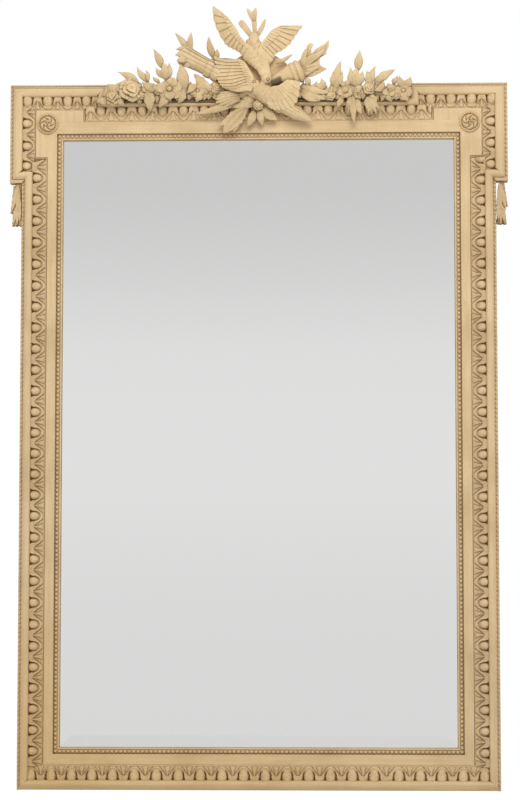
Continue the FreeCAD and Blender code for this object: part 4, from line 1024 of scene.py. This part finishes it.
LEFT_LEAVES = (
    ((-214, 60), (-236, 107), 16, 13, 17, 0.0014, 0), ((-207, 38), (-231, 65), 14, 14, 16, -0.0022, 0),
    ((-206, 34), (-213, 75), 19, 16, 18, 0.0, 3), ((-202, 36), (-200, 76), 14, 13, 17, 0.0012, 0),
    ((-246, 28), (-273, 68), 14, 13, 11, -0.0028, 0), ((-246, 30), (-254, 60), 10, 17, 15, 0.0016, 0),
    ((-268, 27), (-317, 55), 17, 13, 9, 0.0034, 0), ((-306, -2), (-341, 29), 25, 10, 9, 0.0016, 3),
    ((-162, 10), (-175, 77), 26, 11, 16, -0.0016, 0), ((-112, 4), (-145, 51), 22, 10, 11, 0.0022, 4),
    ((-222, 26), (-237, 44), 9, 13, 10, 0.0, 0), ((-251, 14), (-244, -35), 25, 14, 6, -0.0034, 3),
    ((-196, 2), (-223, -26), 20, 12, 6, 0.0026, 3), ((-166, 16), (-181, -16), 21, 13, 7, -0.0022, 3),
    ((-338, -8), (-365, -14), 17, 8, 5, 0.0, 0), ((-318, -2), (-301, -22), 16, 11, 5, 0.0016, 3),
    ((-136, 24), (-161, 3), 15, 16, 16, 0.0016, 0), ((-126, 4), (-140, -14), 15, 12, 8, 0.0, 3),
    ((-232, 8), (-262, 32), 13, 16, 14, -0.0020, 3), ((-236, 28), (-222, 6), 11, 15, 12, 0.0016, 0),
    ((-180, 34), (-158, 40), 12, 14, 13, 0.0010, 0), ((-340, 2), (-352, 8), 12, 7, 6, 0.0, 0),
    ((-104, 8), (-118, 34), 16, 12, 12, -0.0016, 3), ((-308, 22), (-316, 2), 11, 15, 12, 0.0014, 0),
)
LEFT_FLOWERS = (
    (-287, 13, 15, 26, 1.1), (-326, -2, 11, 19, 0.5), (-264, 2, 13, 10, 0.3), (-224, 14, 14, 12, 0.4),
    (-93, 19, 12, 14, 0.2), (-356, -9, 6, 9, 0.2), (-172, 0, 10, 9, 0.5),
)
LEFT_BLOSSOMS = ((-199, 14, 17, 30, 0.3), (-248, 17, 16, 15, 0.9), (-136, 11, 13, 18, 0.7), (-310, 22, 12, 13, 0.2))
RIGHT_LEAVES = (
    ((96, 20), (163, 4), 17, 13, 10, 0.0030, 3), ((96, 12), (158, -10), 18, 12, 8, 0.0030, 3),
    ((94, 4), (140, -14), 15, 10, 6, 0.0020, 0), ((146, 12), (142, 39), 13, 10, 12, 0.0026, 0),
    ((174, 10), (187, 76), 19, 12, 15, -0.0012, 4), ((172, 18), (169, 54), 13, 14, 15, -0.0012, 0),
    ((177, 18), (192, 52), 12, 14, 15, 0.0014, 0), ((195, 12), (190, 38), 10, 13, 14, -0.0018, 0),
    ((199, 14), (201, 38), 10, 14, 14, 0.0018, 0), ((225, 52), (230, 102), 18, 14, 18, 0.0, 0),
    ((221, 16), (222, 60), 23, 15, 17, 0.0, 3), ((214, 20), (208, 63), 15, 14, 16, -0.0012, 0),
    ((228, 20), (236, 54), 14, 14, 16, 0.0012, 0), ((253, 20), (267, 66), 14, 13, 15, -0.0030, 0),
    ((253, 16), (246, 54), 16, 14, 15, -0.0010, 3), ((262, 24), (309, 57), 19, 13, 13, -0.0020, 3),
    ((326, 12), (319, 43), 17, 12, 12, -0.0014, 0), ((330, 12), (344, 42), 17, 12, 12, 0.0016, 0),
    ((214, -2), (217, -66), 15, 13, 6, 0.0012, 3), ((209, -2), (202, -42), 15, 11, 6, -0.0020, 3),
    ((221, -10), (234, -44), 17, 11, 6, 0.0020, 3), ((212, -10), (198, -30), 18, 13, 9, -0.0026, 3),
    ((246, -4), (249, -46), 13, 12, 6, 0.0, 0), ((248, -4), (259, -48), 13, 13, 6, 0.0, 0),
    ((250, -4), (268, -45), 13, 13, 6, 0.0012, 0), ((252, -4), (275, -36), 13, 12, 6, 0.0020, 0),
    ((188, -4), (180, -28), 14, 11, 6, -0.0012, 3), ((290, 4), (302, -16), 15, 11, 6, 0.0014, 3),
    ((322, 2), (338, -14), 16, 11, 6, 0.0014, 3), ((304, 22), (314, 44), 12, 12, 12, 0.0010, 0),
    ((270, 4), (284, 30), 14, 15, 15, 0.0016, 3), ((152, 14), (128, 26), 14, 12, 12, -0.0018, 3),
    ((118, 22), (104, 38), 14, 12, 12, 0.0014, 0), ((206, 14), (186, 4), 14, 15, 15, 0.0010, 3),
    ((284, 12), (262, 8), 13, 16, 15, 0.0016, 3), ((334, 4), (349, 12), 13, 9, 8, 0.0010, 0),
    ((128, 4), (140, -14), 13, 10, 6, 0.0, 0), ((306, 6), (292, 26), 13, 15, 15, -0.0014, 3),
)
RIGHT_FLOWERS = (
    (250, 14, 16, 14, 0.2), (164, -2, 13, 11, 0.9), (227, 14, 14, 10, 0.3), (312, -2, 12, 9, 0.5),
)
RIGHT_BLOSSOMS = ((297, 8, 15, 18, 0.8), (196, 6, 15, 18, 0.6), (273, 18, 14, 14, 1.0), (131, 14, 12, 16, 0.1),
                  (327, 8, 14, 20, 0.4), (256, -12, 13, 14, 0.4))


class MIRROR_OT_garlands(bpy.types.Operator):
    """Carves the flower garlands on both sides of the crest"""

    bl_idname = "mirror.garlands"
    bl_label = "Garlands"

    def execute(self, context):
        sizes, finish = context.scene.mirror_crest, context.scene.mirror_finish
        sides = {"left": (LEFT_LEAVES, LEFT_FLOWERS, LEFT_BLOSSOMS, ((-60, 6, 5), (-190, 0, 7), (-345, -4, 4)), 11),
                 "right": (RIGHT_LEAVES, RIGHT_FLOWERS, RIGHT_BLOSSOMS, ((60, 6, 5), (200, 0, 7), (335, 0, 4)), 23)}
        for name, (leaves, flowers, blossoms, stem, seed) in sides.items():
            carving = Carving()
            path = smooth_line(crest_line(stem), 40)
            # The stem is darkened as painted shade, and a dark tube under the garland stands in for its shadow on the
            # moulding.
            carving.add_round(tube(path, np.linspace(0.0055, 0.0032, 40), ring=10), 0.6)
            shadow = crest_line([(x, -9.5, 0) for x, _, _ in stem])
            carving.add_round(tube(smooth_line(shadow, 40), np.full(40, 0.0042), ring=8), 1.0)
            sprays(carving, sizes, stem, 84, seed)
            for k, (tail, tip, width, rise, tip_rise, bow, lobes) in enumerate(leaves):
                crest_leaf(carving, sizes, tail, tip, width * 1.08, rise + 2, tip_rise + 2, bow=bow,
                           sway=(0.0, 0.0012, -0.0010)[k % 3], lobes=lobes, notch=0.2, curl=(0.003, -0.004)[k % 2],
                           slim=0.9 if lobes else 1.35, rows=22)
            for k, (x, z, rise, radius, turn) in enumerate(flowers):
                flower(carving, sizes, x, z, rise, radius * 1.08, turn, lean=(0.25 * (-1)**k, 0.12), petals=5 + k % 2)
            for x, z, rise, radius, turn in blossoms:
                blossom(carving, sizes, x, z, rise, radius, turn)
            carving.build("garland_of_roses_" + name, carved_wood(finish, "crest"), "mirror",
                          ["garland_" + name])
        return {"FINISHED"}


def shaft(carving, tail, tip, rise, stations, flutes=0, depth=0.0, ring=40, flat=1.0, deep=None):
    """A turned shaft between two crest places: rings whose radius follows the stations (share, radius in mm),
    pressed into flutes by a wave of the angle. The flutes are darkened, and between the two shares of deep its lower
    half is darkened, both a painted shade."""
    stations = np.asarray(stations, float)
    share = np.unique(np.concatenate((np.linspace(0, 1, 50), stations[:, 0])))
    path = crest(*tail, rise[0]) + (crest(*tip, rise[1]) - crest(*tail, rise[0])) * share[:, None]
    radii = np.interp(share, stations[:, 0], stations[:, 1]) * MM
    v = np.linspace(0, TURN, ring, endpoint=False)
    relief = depth * (np.abs(np.cos(0.5 * flutes * v))[None] - 1) * np.ones((len(share), 1)) if flutes else 0.0
    # Painted shade in the bottoms of the flutes, and on the lower half within the span of deep.
    hollow = step(0.5, 0.0, np.abs(np.cos(0.5 * flutes * v)))[None] * min(1.0, depth / 0.09) * np.ones((len(share), 1))
    if deep:
        window = step(deep[0], deep[0] + 0.03, share) * step(deep[1], deep[1] - 0.03, share)
        hollow = np.maximum(hollow, window[:, None] * step(-0.5, 0.1, np.cos(v)))
    carving.add_round(tube(path, radii, ring=ring, flat=flat, relief=relief), hollow)


class MIRROR_OT_quiver(bpy.types.Operator):
    """Carves the fluted quiver with its leafy mouth and arrows"""

    bl_idname = "mirror.quiver"
    bl_label = "Quiver"

    def execute(self, context):
        sizes, finish = context.scene.mirror_crest, context.scene.mirror_finish
        carving = Carving()
        shaft(carving, (-172, 96), (124, -60), (11, 10),
              ((0.0, 21), (0.015, 24), (0.05, 22.5), (0.14, 20), (0.19, 19.5), (0.195, 22.5), (0.215, 23.5),
               (0.235, 22.5), (0.24, 20), (0.255, 22.5), (0.275, 23.5), (0.295, 22.5), (0.30, 19), (0.70, 16),
               (0.74, 19), (0.77, 19), (0.78, 15.5), (0.88, 15.5), (0.96, 8), (1.0, 2.0)), flutes=13, depth=0.09)
        for tail, tip, width, rise, bow in (
                ((-150, 92), (-187, 143), 15, 16, 0.002), ((-154, 94), (-150, 144), 14, 18, -0.001),
                ((-150, 100), (-185, 104), 14, 20, 0.003), ((-154, 92), (-186, 90), 18, 25, 0.001),
                ((-156, 84), (-183, 77), 17, 25, -0.001), ((-150, 98), (-172, 114), 14, 14, 0.001),
                ((-148, 76), (-168, 65), 15, 18, -0.001), ((-94, 82), (-111, 135), 16, 12, -0.005),
                ((-96, 80), (-92, 106), 12, 14, 0.002)):
            crest_leaf(carving, sizes, tail, tip, width, rise, rise + 1, bow=bow, veins=5.0)
        carving.build("fluted_quiver", carved_wood(finish, "crest"), "mirror", ["quiver"])
        return {"FINISHED"}


class MIRROR_OT_torch(bpy.types.Operator):
    """Carves the torch that crosses the quiver"""

    bl_idname = "mirror.torch"
    bl_label = "Torch"

    def execute(self, context):
        sizes = context.scene.mirror_crest
        carving = Carving()
        shaft(carving, (-72, -9), (100, 57), (9, 12),
              ((0.0, 5), (0.04, 9), (0.12, 9.0), (0.42, 10), (0.62, 13), (0.72, 16), (0.80, 19.5), (0.865, 23),
               (0.87, 25.2), (0.89, 26), (0.91, 25.2), (0.915, 23.4), (0.93, 23.4), (0.935, 25.6), (0.955, 26.6),
               (0.975, 25.6), (0.98, 23), (1.0, 18)), flutes=16, depth=0.025, deep=(0.56, 0.74))
        for tail, tip, width, rise in (((-44, 6), (-87, 4), 9, 19), ((-43, 3), (-93, -3), 9, 20),
                                       ((-42, 0), (-96, -10), 9, 21), ((-41, -4), (-95, -17), 9, 20),
                                       ((-40, -8), (-89, -23), 9, 19), ((-39, -12), (-79, -26), 9, 18)):
            carving.add_round(*blade(crest(*tail, rise), crest(*tip, rise - 4), width * MM, 0.007, blunt=0.75,
                                     full=0.6, arch=0.004, rib=0.0012))
        crest_leaf(carving, sizes, (-42, -14), (-143, -41), 17, 12, 7, bow=-0.003, veins=0.0)
        crest_leaf(carving, sizes, (40, 71), (79, 94), 9, 12, 13, bow=0.002)
        carving.build("crossed_torch", carved_wood(context.scene.mirror_finish, "crest"), "mirror",
                      ["torch"])
        return {"FINISHED"}


FLAME_EDGE = ((93, 82), (102, 85), (107, 101), (112, 116), (118, 120), (125, 117), (121, 110), (121, 95), (129, 105),
              (140, 112), (149, 116), (161, 128), (160, 113), (155, 101), (155, 96), (143, 91), (139, 83), (140, 71),
              (144, 66), (155, 61), (142, 53), (126, 45), (109, 41), (100, 32), (86, 38), (82, 60))


def flame_grid(edge, heart, rise, thick):
    """A flame in relief: rings that grow from its heart to its edge on the front and shrink again behind. The front
    falls as 1 - u squared, and is ridged by a wave of the way round its edge."""
    edge = np.asarray((*edge, edge[0]), float)
    way = np.concatenate(([0.0], np.cumsum(np.linalg.norm(np.diff(edge, axis=0), axis=1))))
    v = np.linspace(0, 1, 240, endpoint=False)[None]
    x, z = (np.interp(v * way[-1], way, edge[:, k]) for k in (0, 1))
    ahead = 16
    u = np.concatenate((np.linspace(0.03, 1, ahead), np.linspace(1, 0.03, 7)))[:, None]
    front = (np.arange(len(u)) < ahead)[:, None]
    wave = np.cos(TURN * (17 * v + 0.3 * u)) * np.sin(PI * u)**0.7
    height = np.where(front, rise + thick * (1 - u**2) + 0.9 * wave, rise - 4.0)
    places = np.stack(np.broadcast_arrays(heart[0] + (x - heart[0]) * u, heart[1] + (z - heart[1]) * u, height), axis=-1)
    # Painted shade in the troughs of the ridges.
    hollow = 0.6 * step(-0.2, -0.9, wave) * front
    return crest_line(places.reshape(-1, 3)).reshape(places.shape), hollow


class MIRROR_OT_flame(bpy.types.Operator):
    """Carves the flame at the torch's head"""

    bl_idname = "mirror.flame"
    bl_label = "Flame"

    def execute(self, context):
        sizes = context.scene.mirror_crest
        carving = Carving()
        carving.add_round(*flame_grid(FLAME_EDGE, (97, 61), 9.0, 6.0))
        for tail, tip, width, rise, tip_rise, bow, sway in (
                ((97, 60), (118, 114), 13, 11, 10, -0.003, 0.002), ((100, 60), (154, 117), 17, 11, 10, 0.002, -0.004),
                ((100, 56), (146, 64), 13, 10, 9, 0.002, 0.002), ((98, 52), (124, 49), 10, 10, 9, 0.002, 0.002)):
            crest_leaf(carving, sizes, tail, tip, width, rise, tip_rise, bow=bow, sway=sway, full=0.30,
                       veins=0.0, rib=0.0016, rows=22, root=0.4)
        carving.build("flame_tongues", carved_wood(context.scene.mirror_finish, "crest"), "mirror",
                      ["torch_flame"])
        return {"FINISHED"}


def plumage(rows, ring, tufts, around, amount, start, end):
    """Relief of overlapping scale feathers: a saw of the place along the body, offset by half a feather in
    every other row, times an arch of the place across the feather."""
    u = np.linspace(0, 1, rows)[:, None]
    v = np.linspace(0, 1, ring, endpoint=False)[None]
    row = u * tufts
    across = np.abs(np.sin(PI * (around * v + 0.5 * (np.floor(row) % 2))))
    saw = (row % 1.0) * across**0.5
    return amount * (saw - 0.4) * step(start, start + 0.1, u) * step(end, end - 0.1, u)


def dove_body(carving, line, radii, flat=0.85):
    """A bird's body: a ring of changing radius carried from rump to head, with feather relief."""
    rows, ring = 72, 48
    path = smooth_line(crest_line(line), rows)
    radius = smooth_line(np.asarray(radii, float) * MM, rows)
    relief = plumage(rows, ring, 11, 10, 0.060, 0.0, 0.80)
    # Painted shade where each row of feathers drops to the next.
    hollow = np.clip(-relief / 0.060 * 0.80, 0, 1)
    carving.add_round(tube(path, radius, ring=ring, flat=flat, relief=relief), hollow)


def dove_head(carving, centre, radius, beak, eye):
    """A round head with a two-part beak and an eye in a rim."""
    carving.add_round(ball(crest(*centre), radius * MM, 12, 20, (1.0, 0.92, 1.0)))
    way = unit(crest(*beak) - crest(*centre))
    root = crest(*centre) + way * (0.75 * radius * MM)
    for lift, width in ((0.0012, 0.0095), (-0.0012, 0.0080)):
        offset = np.array((0.0, 0.0, lift))
        carving.add_round(*blade(root + offset, crest(*beak) + 0.4 * offset, width, 0.0060, full=0.2, root=0.8,
                                 rows=9, ring=10))
    carving.add_round(ball(crest(*eye), 0.0024, 6, 10), 0.0)
    # The rim round the eye is darkened, a painted shade.
    turn = np.linspace(0, TURN, 17)
    rim = crest(*eye) + np.stack((0.0034 * np.cos(turn), np.full(17, 0.0006), 0.0034 * np.sin(turn)), axis=-1)
    carving.add_round(tube(rim, np.full(17, 0.0009), ring=8), 0.8)


def wing(carving, arm, trailing, count, rise, slope=-4.0, wave=0.0, thick=0.008, cover=0.40, cuts=1.0):
    """A carved wing, a slab between its arm and its trailing edge.

    u runs through the long feathers from the body outwards, and v from the arm to their tips on the front and
    back again behind. Each feather climbs from one edge to the other, so that it overlaps the next, and its tip
    reaches a little further at its middle. A row of shorter feathers, half a feather along, lies over their
    roots. Next to the body the wing is smooth. Cuts scales the steps and the painted shade in the lines."""
    rows, ahead, behind = 10 * count + 1, 30, 7
    u = np.linspace(0, 1, rows)[:, None]
    v = np.concatenate((np.linspace(0, 1, ahead), np.linspace(1, 0, behind + 2)[1:-1]))[None]
    front = np.concatenate((np.ones(ahead), np.zeros(behind)))[None]
    roots = smooth_line(crest_line([(x, z, rise + 3) for x, z in arm]), rows)[:, None]
    tips = smooth_line(crest_line([(x, z, rise + slope) for x, z in trailing]), rows)[:, None]
    place = np.minimum(u * count, count - 1e-6)
    share = place - np.floor(place)
    middle = 1 - np.abs(2 * share - 1)
    reach = v * (1 - 0.045 * (1 - middle)**2)
    points = roots + (tips - roots) * reach[..., None]
    half = np.mod(place * 1.3 + 0.5, 1.0)
    ends = cover * (1 - 0.16 * np.abs(2 * half - 1)**2)
    over = step(ends + 0.02, ends - 0.02, v)
    carved = step(0.06, 0.24, u)
    lens = thick * (0.30 + 0.70 * np.sqrt(np.clip(np.sin(PI * np.clip(0.10 + 0.86 * v, 0, 1)), 0, 1)))
    slate = 0.0022 * cuts * (1 - share) * step(0.02, 0.25, v) * carved
    small = cuts * (0.0012 + 0.0014 * (1 - half)) * over * step(0.0, 0.12, v) * carved
    quill = -0.0005 * np.exp(-((share - 0.5) / 0.07)**2) * (1 - over) * carved
    height = np.where(front > 0, lens + np.where(over > 0.5, 0.4 * slate, slate) + small + quill, -0.3 * lens)
    points = points - height[..., None] * np.array((0.0, 1.0, 0.0))
    points[..., 2] += wave * MM * np.sin(TURN * 1.15 * v) * (0.5 + 0.5 * np.sin(7.0 * u))
    # Painted shade in the lines between feathers, along the edge of the cover row and between its feathers.
    line = np.exp(-(np.minimum(share, 1 - share) / 0.10)**2) * (1 - over) * step(0.1, 0.3, v)
    cover_edge_shade = np.exp(-((v - ends - 0.02) / 0.03)**2)
    fine = np.exp(-(np.minimum(half, 1 - half) / 0.10)**2) * over
    hollow = cuts * np.clip(0.55 * line + 0.25 * cover_edge_shade + 0.25 * fine, 0, 1) * front * carved
    carving.add_round(points, hollow)


class MIRROR_OT_upper_dove(bpy.types.Operator):
    """Carves the dove that flies down, with its wings and tail"""

    bl_idname = "mirror.upper_dove"
    bl_label = "Upper dove"

    def execute(self, context):
        sizes, finish = context.scene.mirror_crest, context.scene.mirror_finish
        wood = carved_wood(finish, "crest")
        body = Carving()
        dove_body(body, ((-13, 130, 12), (-10, 117, 12), (-5, 105, 12), (0, 93, 13), (2, 83, 14), (5, 75, 16),
                         (8, 68, 19), (12, 60, 22), (15, 51, 25), (18, 43, 27), (19, 36, 28)),
                  (14, 18, 21, 23, 24, 22, 18, 15, 13.5, 11.5, 10), flat=0.40)
        body.add_round(ball(crest(-9, 127, 13), 0.0160, 16, 24, (0.78, 0.6, 1.08)), 0.0)
        dove_head(body, (19, 34, 28), 12.0, (5, 14, 31), (23, 31, 38.8))
        body.build("upper_dove_body", wood, "mirror", ["upper_dove"])
        wings = Carving()
        wing(wings, ((0, 98), (-34, 126), (-50, 153), (-68, 178)),
             ((-12, 64), (-30, 80), (-40, 95), (-52, 103), (-66, 110), (-77, 121), (-92, 149), (-101, 177),
              (-103, 206)), 11, 14, cuts=0.95)
        wing(wings, ((0, 96), (8, 116), (18, 130), (31, 146), (48, 156)),
             ((20, 62), (34, 79), (41, 93), (57, 102), (75, 118), (88, 138), (103, 158)), 10, 14, cuts=0.95)
        wings.build("upper_dove_spread_wings", wood, "mirror", ["upper_dove_wings"])
        tail = Carving()
        for start, tip, width, blunt, rise, bow in (
                ((-8, 128), (-41, 172), 16, 1.0, 11, 0.0), ((-6, 132), (-10, 190), 13, 1.0, 10, 0.0),
                ((-9, 172), (-26, 201), 10, 0.0, 11, 0.001), ((-10, 172), (-4, 203), 11, 0.0, 11, -0.001),
                ((-6, 132), (17, 177), 10, 0.3, 8, 0.002)):
            tail.add_round(*blade(crest(*start, rise), crest(*tip, rise - 2), width * MM,
                                  sizes.feather_thickness, blunt=blunt, full=0.5, rib=0.0016, bow=bow,
                                  root=0.8))
        tail.build("upper_dove_tail_feathers", wood, "mirror", ["upper_dove_tail"])
        return {"FINISHED"}


class MIRROR_OT_lower_dove(bpy.types.Operator):
    """Carves the dove that rests on the garland, with its raised wing"""

    bl_idname = "mirror.lower_dove"
    bl_label = "Lower dove"

    def execute(self, context):
        finish = context.scene.mirror_finish
        wood = carved_wood(finish, "crest")
        body = Carving()
        dove_body(body, ((44, -18, 12), (32, -9, 17), (16, 2, 20), (6, 9, 22), (-3, 14, 23), (-8, 20, 25)),
                  (9, 18, 21, 19, 16, 10), flat=0.85)
        dove_head(body, (-6, 20, 26), 13.0, (10, 12, 33), (-7, 25, 37.4))
        body.build("lower_dove_body", wood, "mirror", ["lower_dove"])
        wings = Carving()
        wing(wings, ((-14, 4), (-8, 30), (-17, 52), (-29, 72)),
             ((-62, 6), (-82, 14), (-92, 34), (-95, 60), (-100, 86)), 11, 26, slope=-2.0, wave=3.0, cover=0.24, cuts=1.0)
        wing(wings, ((12, 0), (30, 15), (48, 19), (66, 31)),
             ((26, -32), (42, -37), (60, -36), (80, -29), (92, -8), (96, 29)), 9, 23, cover=0.62, cuts=0.7)
        wings.build("lower_dove_open_wings", wood, "mirror", ["lower_dove_wings"])
        return {"FINISHED"}


class MIRROR_OT_ribbon(bpy.types.Operator):
    """Carves the knot flower, the ribbon ends and the leaf that hangs over the band"""

    bl_idname = "mirror.ribbon"
    bl_label = "Ribbon and knot"

    def execute(self, context):
        sizes, finish = context.scene.mirror_crest, context.scene.mirror_finish
        carving = Carving()
        flower(carving, sizes, 1, -23, 15, 12, 0.3, petals=6)
        for tail, tip, width, rise, tip_rise, bow in (
                ((-8, -34), (-24, -70), 20, 8, 4, -0.002),
                ((4, -32), (10, -68), 18, 8, 4, 0.001), ((8, -26), (44, -56), 26, 8, 4, 0.002),
                ((-8, -20), (-64, -26), 24, 8, 8, 0.003), ((10, -18), (52, -18), 22, 8, 7, 0.0),
                ((-4, -14), (-40, -2), 18, 9, 9, 0.0)):
            crest_leaf(carving, sizes, tail, tip, width, rise, tip_rise, bow=bow, lobes=5, notch=0.16, veins=6.0)
        crest_leaf(carving, sizes, (-24, -28), (-78, -85), 38, 11, 6, bow=0.003, lobes=6, notch=0.14, veins=6.0,
                   full=0.5, rows=30, ring=20)
        for tip, width in (((-92, -70), 14), ((-56, -84), 14)):
            crest_leaf(carving, sizes, (-34, -36), tip, width, 8, 4, full=0.55)
        carving.build("ribbon_and_leaves", carved_wood(finish, "crest"), "mirror", ["ribbon_knot"])
        return {"FINISHED"}


REFLECTED_TONES = ((-0.10, 0.745), (-0.018, 0.775), (0.041, 0.824), (0.099, 0.800), (0.137, 0.712), (0.175, 0.640), (0.20, 0.640))


def studio_world():
    """A plain studio: white for the camera, and for the rest a soft grey that is palest near level."""
    world = bpy.data.worlds.new("studio")
    bpy.context.scene.world = world
    world.use_nodes = True
    nodes, links = world.node_tree.nodes, world.node_tree.links
    nodes.clear()
    place = nodes.new("ShaderNodeTexCoord")
    parts = nodes.new("ShaderNodeSeparateXYZ")
    links.new(place.outputs["Generated"], parts.inputs["Vector"])
    height = nodes.new("ShaderNodeMapRange")
    low, high = REFLECTED_TONES[0][0], REFLECTED_TONES[-1][0]
    height.inputs["From Min"].default_value = low
    height.inputs["From Max"].default_value = high
    links.new(parts.outputs["Z"], height.inputs["Value"])
    ramp = nodes.new("ShaderNodeValToRGB")
    elements = ramp.color_ramp.elements
    for sine, tone in REFLECTED_TONES[1:-1]:
        elements.new((sine - low) / (high - low))
    for element, (sine, tone) in zip(elements, REFLECTED_TONES):
        element.color = (tone, tone * 1.003, tone * 0.995, 1.0)
    links.new(height.outputs["Result"], ramp.inputs["Fac"])
    seen = nodes.new("ShaderNodeLightPath")
    soft = nodes.new("ShaderNodeBackground")
    links.new(ramp.outputs["Color"], soft.inputs["Color"])
    white = nodes.new("ShaderNodeBackground")
    white.inputs["Color"].default_value = (1.0, 1.0, 1.0, 1.0)
    pick = nodes.new("ShaderNodeMixShader")
    links.new(seen.outputs["Is Camera Ray"], pick.inputs["Fac"])
    links.new(soft.outputs["Background"], pick.inputs[1])
    links.new(white.outputs["Background"], pick.inputs[2])
    output = nodes.new("ShaderNodeOutputWorld")
    links.new(pick.outputs["Shader"], output.inputs["Surface"])


def area_light(name, place, aim, size, power):
    """A large square light at a place, turned to a point and kept out of the mirror."""
    light = bpy.data.lights.new(name, "AREA")
    light.shape = "SQUARE"
    light.size = size
    light.energy = power
    lamp = bpy.data.objects.new(name, light)
    bpy.context.scene.collection.objects.link(lamp)
    lamp.location = place
    lamp.rotation_euler = (Vector(aim) - Vector(place)).to_track_quat("-Z", "Y").to_euler()
    lamp.visible_glossy = False
    return lamp


class MIRROR_OT_stage(bpy.types.Operator):
    """Sets up the floor, the light and the camera"""

    bl_idname = "mirror.stage"
    bl_label = "Stage"

    def execute(self, context):
        stage = context.scene.mirror_stage
        studio_world()
        half, level = 2.2, BODY_FOOT - 0.24
        mesh = bpy.data.meshes.new("floor")
        mesh.from_pydata([(-half, -half, level), (half, -half, level), (half, half, level), (-half, half, level)],
                         [], [(0, 1, 2, 3)])
        material, nodes, links, shader = new_material("pale_floor")
        shader.inputs["Base Color"].default_value = (0.76, 0.76, 0.75, 1.0)
        shader.inputs["Roughness"].default_value = 0.9
        seen = nodes.new("ShaderNodeLightPath")
        shader.inputs["Emission Color"].default_value = (1.0, 1.0, 1.0, 1.0)
        glow = nodes.new("ShaderNodeMath")
        glow.operation = "MULTIPLY"
        glow.inputs[1].default_value = 0.55
        links.new(seen.outputs["Is Camera Ray"], glow.inputs[0])
        links.new(glow.outputs["Value"], shader.inputs["Emission Strength"])
        mesh.materials.append(material)
        floor = bpy.data.objects.new("floor", mesh)
        context.scene.collection.objects.link(floor)
        area_light("key_light", (0.35, -3.0, 2.2), (0.0, 0.0, 0.2), 1.7, stage.key_power)
        camera = bpy.data.cameras.new("photo_camera")
        camera.sensor_width = 36.0
        camera.lens = stage.lens
        holder = bpy.data.objects.new("photo_camera", camera)
        holder.location = stage.camera_place
        holder.rotation_euler = stage.camera_turn
        context.scene.collection.objects.link(holder)
        context.scene.camera = holder
        context.scene.view_settings.view_transform = "Standard"
        return {"FINISHED"}


PIECES = (MIRROR_OT_back, MIRROR_OT_glass, MIRROR_OT_fields, MIRROR_OT_pearls, MIRROR_OT_cornice,
          MIRROR_OT_eggs, MIRROR_OT_rim, MIRROR_OT_rosettes, MIRROR_OT_drops, MIRROR_OT_garlands,
          MIRROR_OT_quiver, MIRROR_OT_torch, MIRROR_OT_flame, MIRROR_OT_lower_dove, MIRROR_OT_upper_dove,
          MIRROR_OT_ribbon, MIRROR_OT_stage)
GROUPS = (("mirror_mouldings", MirrorMouldings), ("mirror_crest", MirrorCrest),
          ("mirror_finish", MirrorFinish), ("mirror_stage", MirrorStage))


class MIRROR_PT_pieces(bpy.types.Panel):
    """Lists the sizes and the pieces of the mirror"""

    bl_idname = "MIRROR_PT_pieces"
    bl_label = "Carved Wall Mirror"
    bl_space_type = "VIEW_3D"
    bl_region_type = "UI"
    bl_category = "Mirror"

    def draw(self, context):
        for name, group in GROUPS:
            box = self.layout.box()
            for value in group.__annotations__:
                box.prop(getattr(context.scene, name), value)
        for piece in PIECES:
            self.layout.operator(piece.bl_idname)


def register():
    """Registers the classes and hangs the groups of values on the scene."""
    for name, group in GROUPS:
        bpy.utils.register_class(group)
        setattr(bpy.types.Scene, name, bpy.props.PointerProperty(type=group))
    for piece in PIECES:
        bpy.utils.register_class(piece)
    bpy.utils.register_class(MIRROR_PT_pieces)


def unregister():
    """Takes away what register added."""
    bpy.utils.unregister_class(MIRROR_PT_pieces)
    for piece in reversed(PIECES):
        bpy.utils.unregister_class(piece)
    for name, group in reversed(GROUPS):
        delattr(bpy.types.Scene, name)
        bpy.utils.unregister_class(group)


def main():
    """Registers the classes and makes every piece in order."""
    register()
    for piece in PIECES:
        group, call = piece.bl_idname.split(".")
        getattr(getattr(bpy.ops, group), call)()


if __name__ == "__main__":
    main()
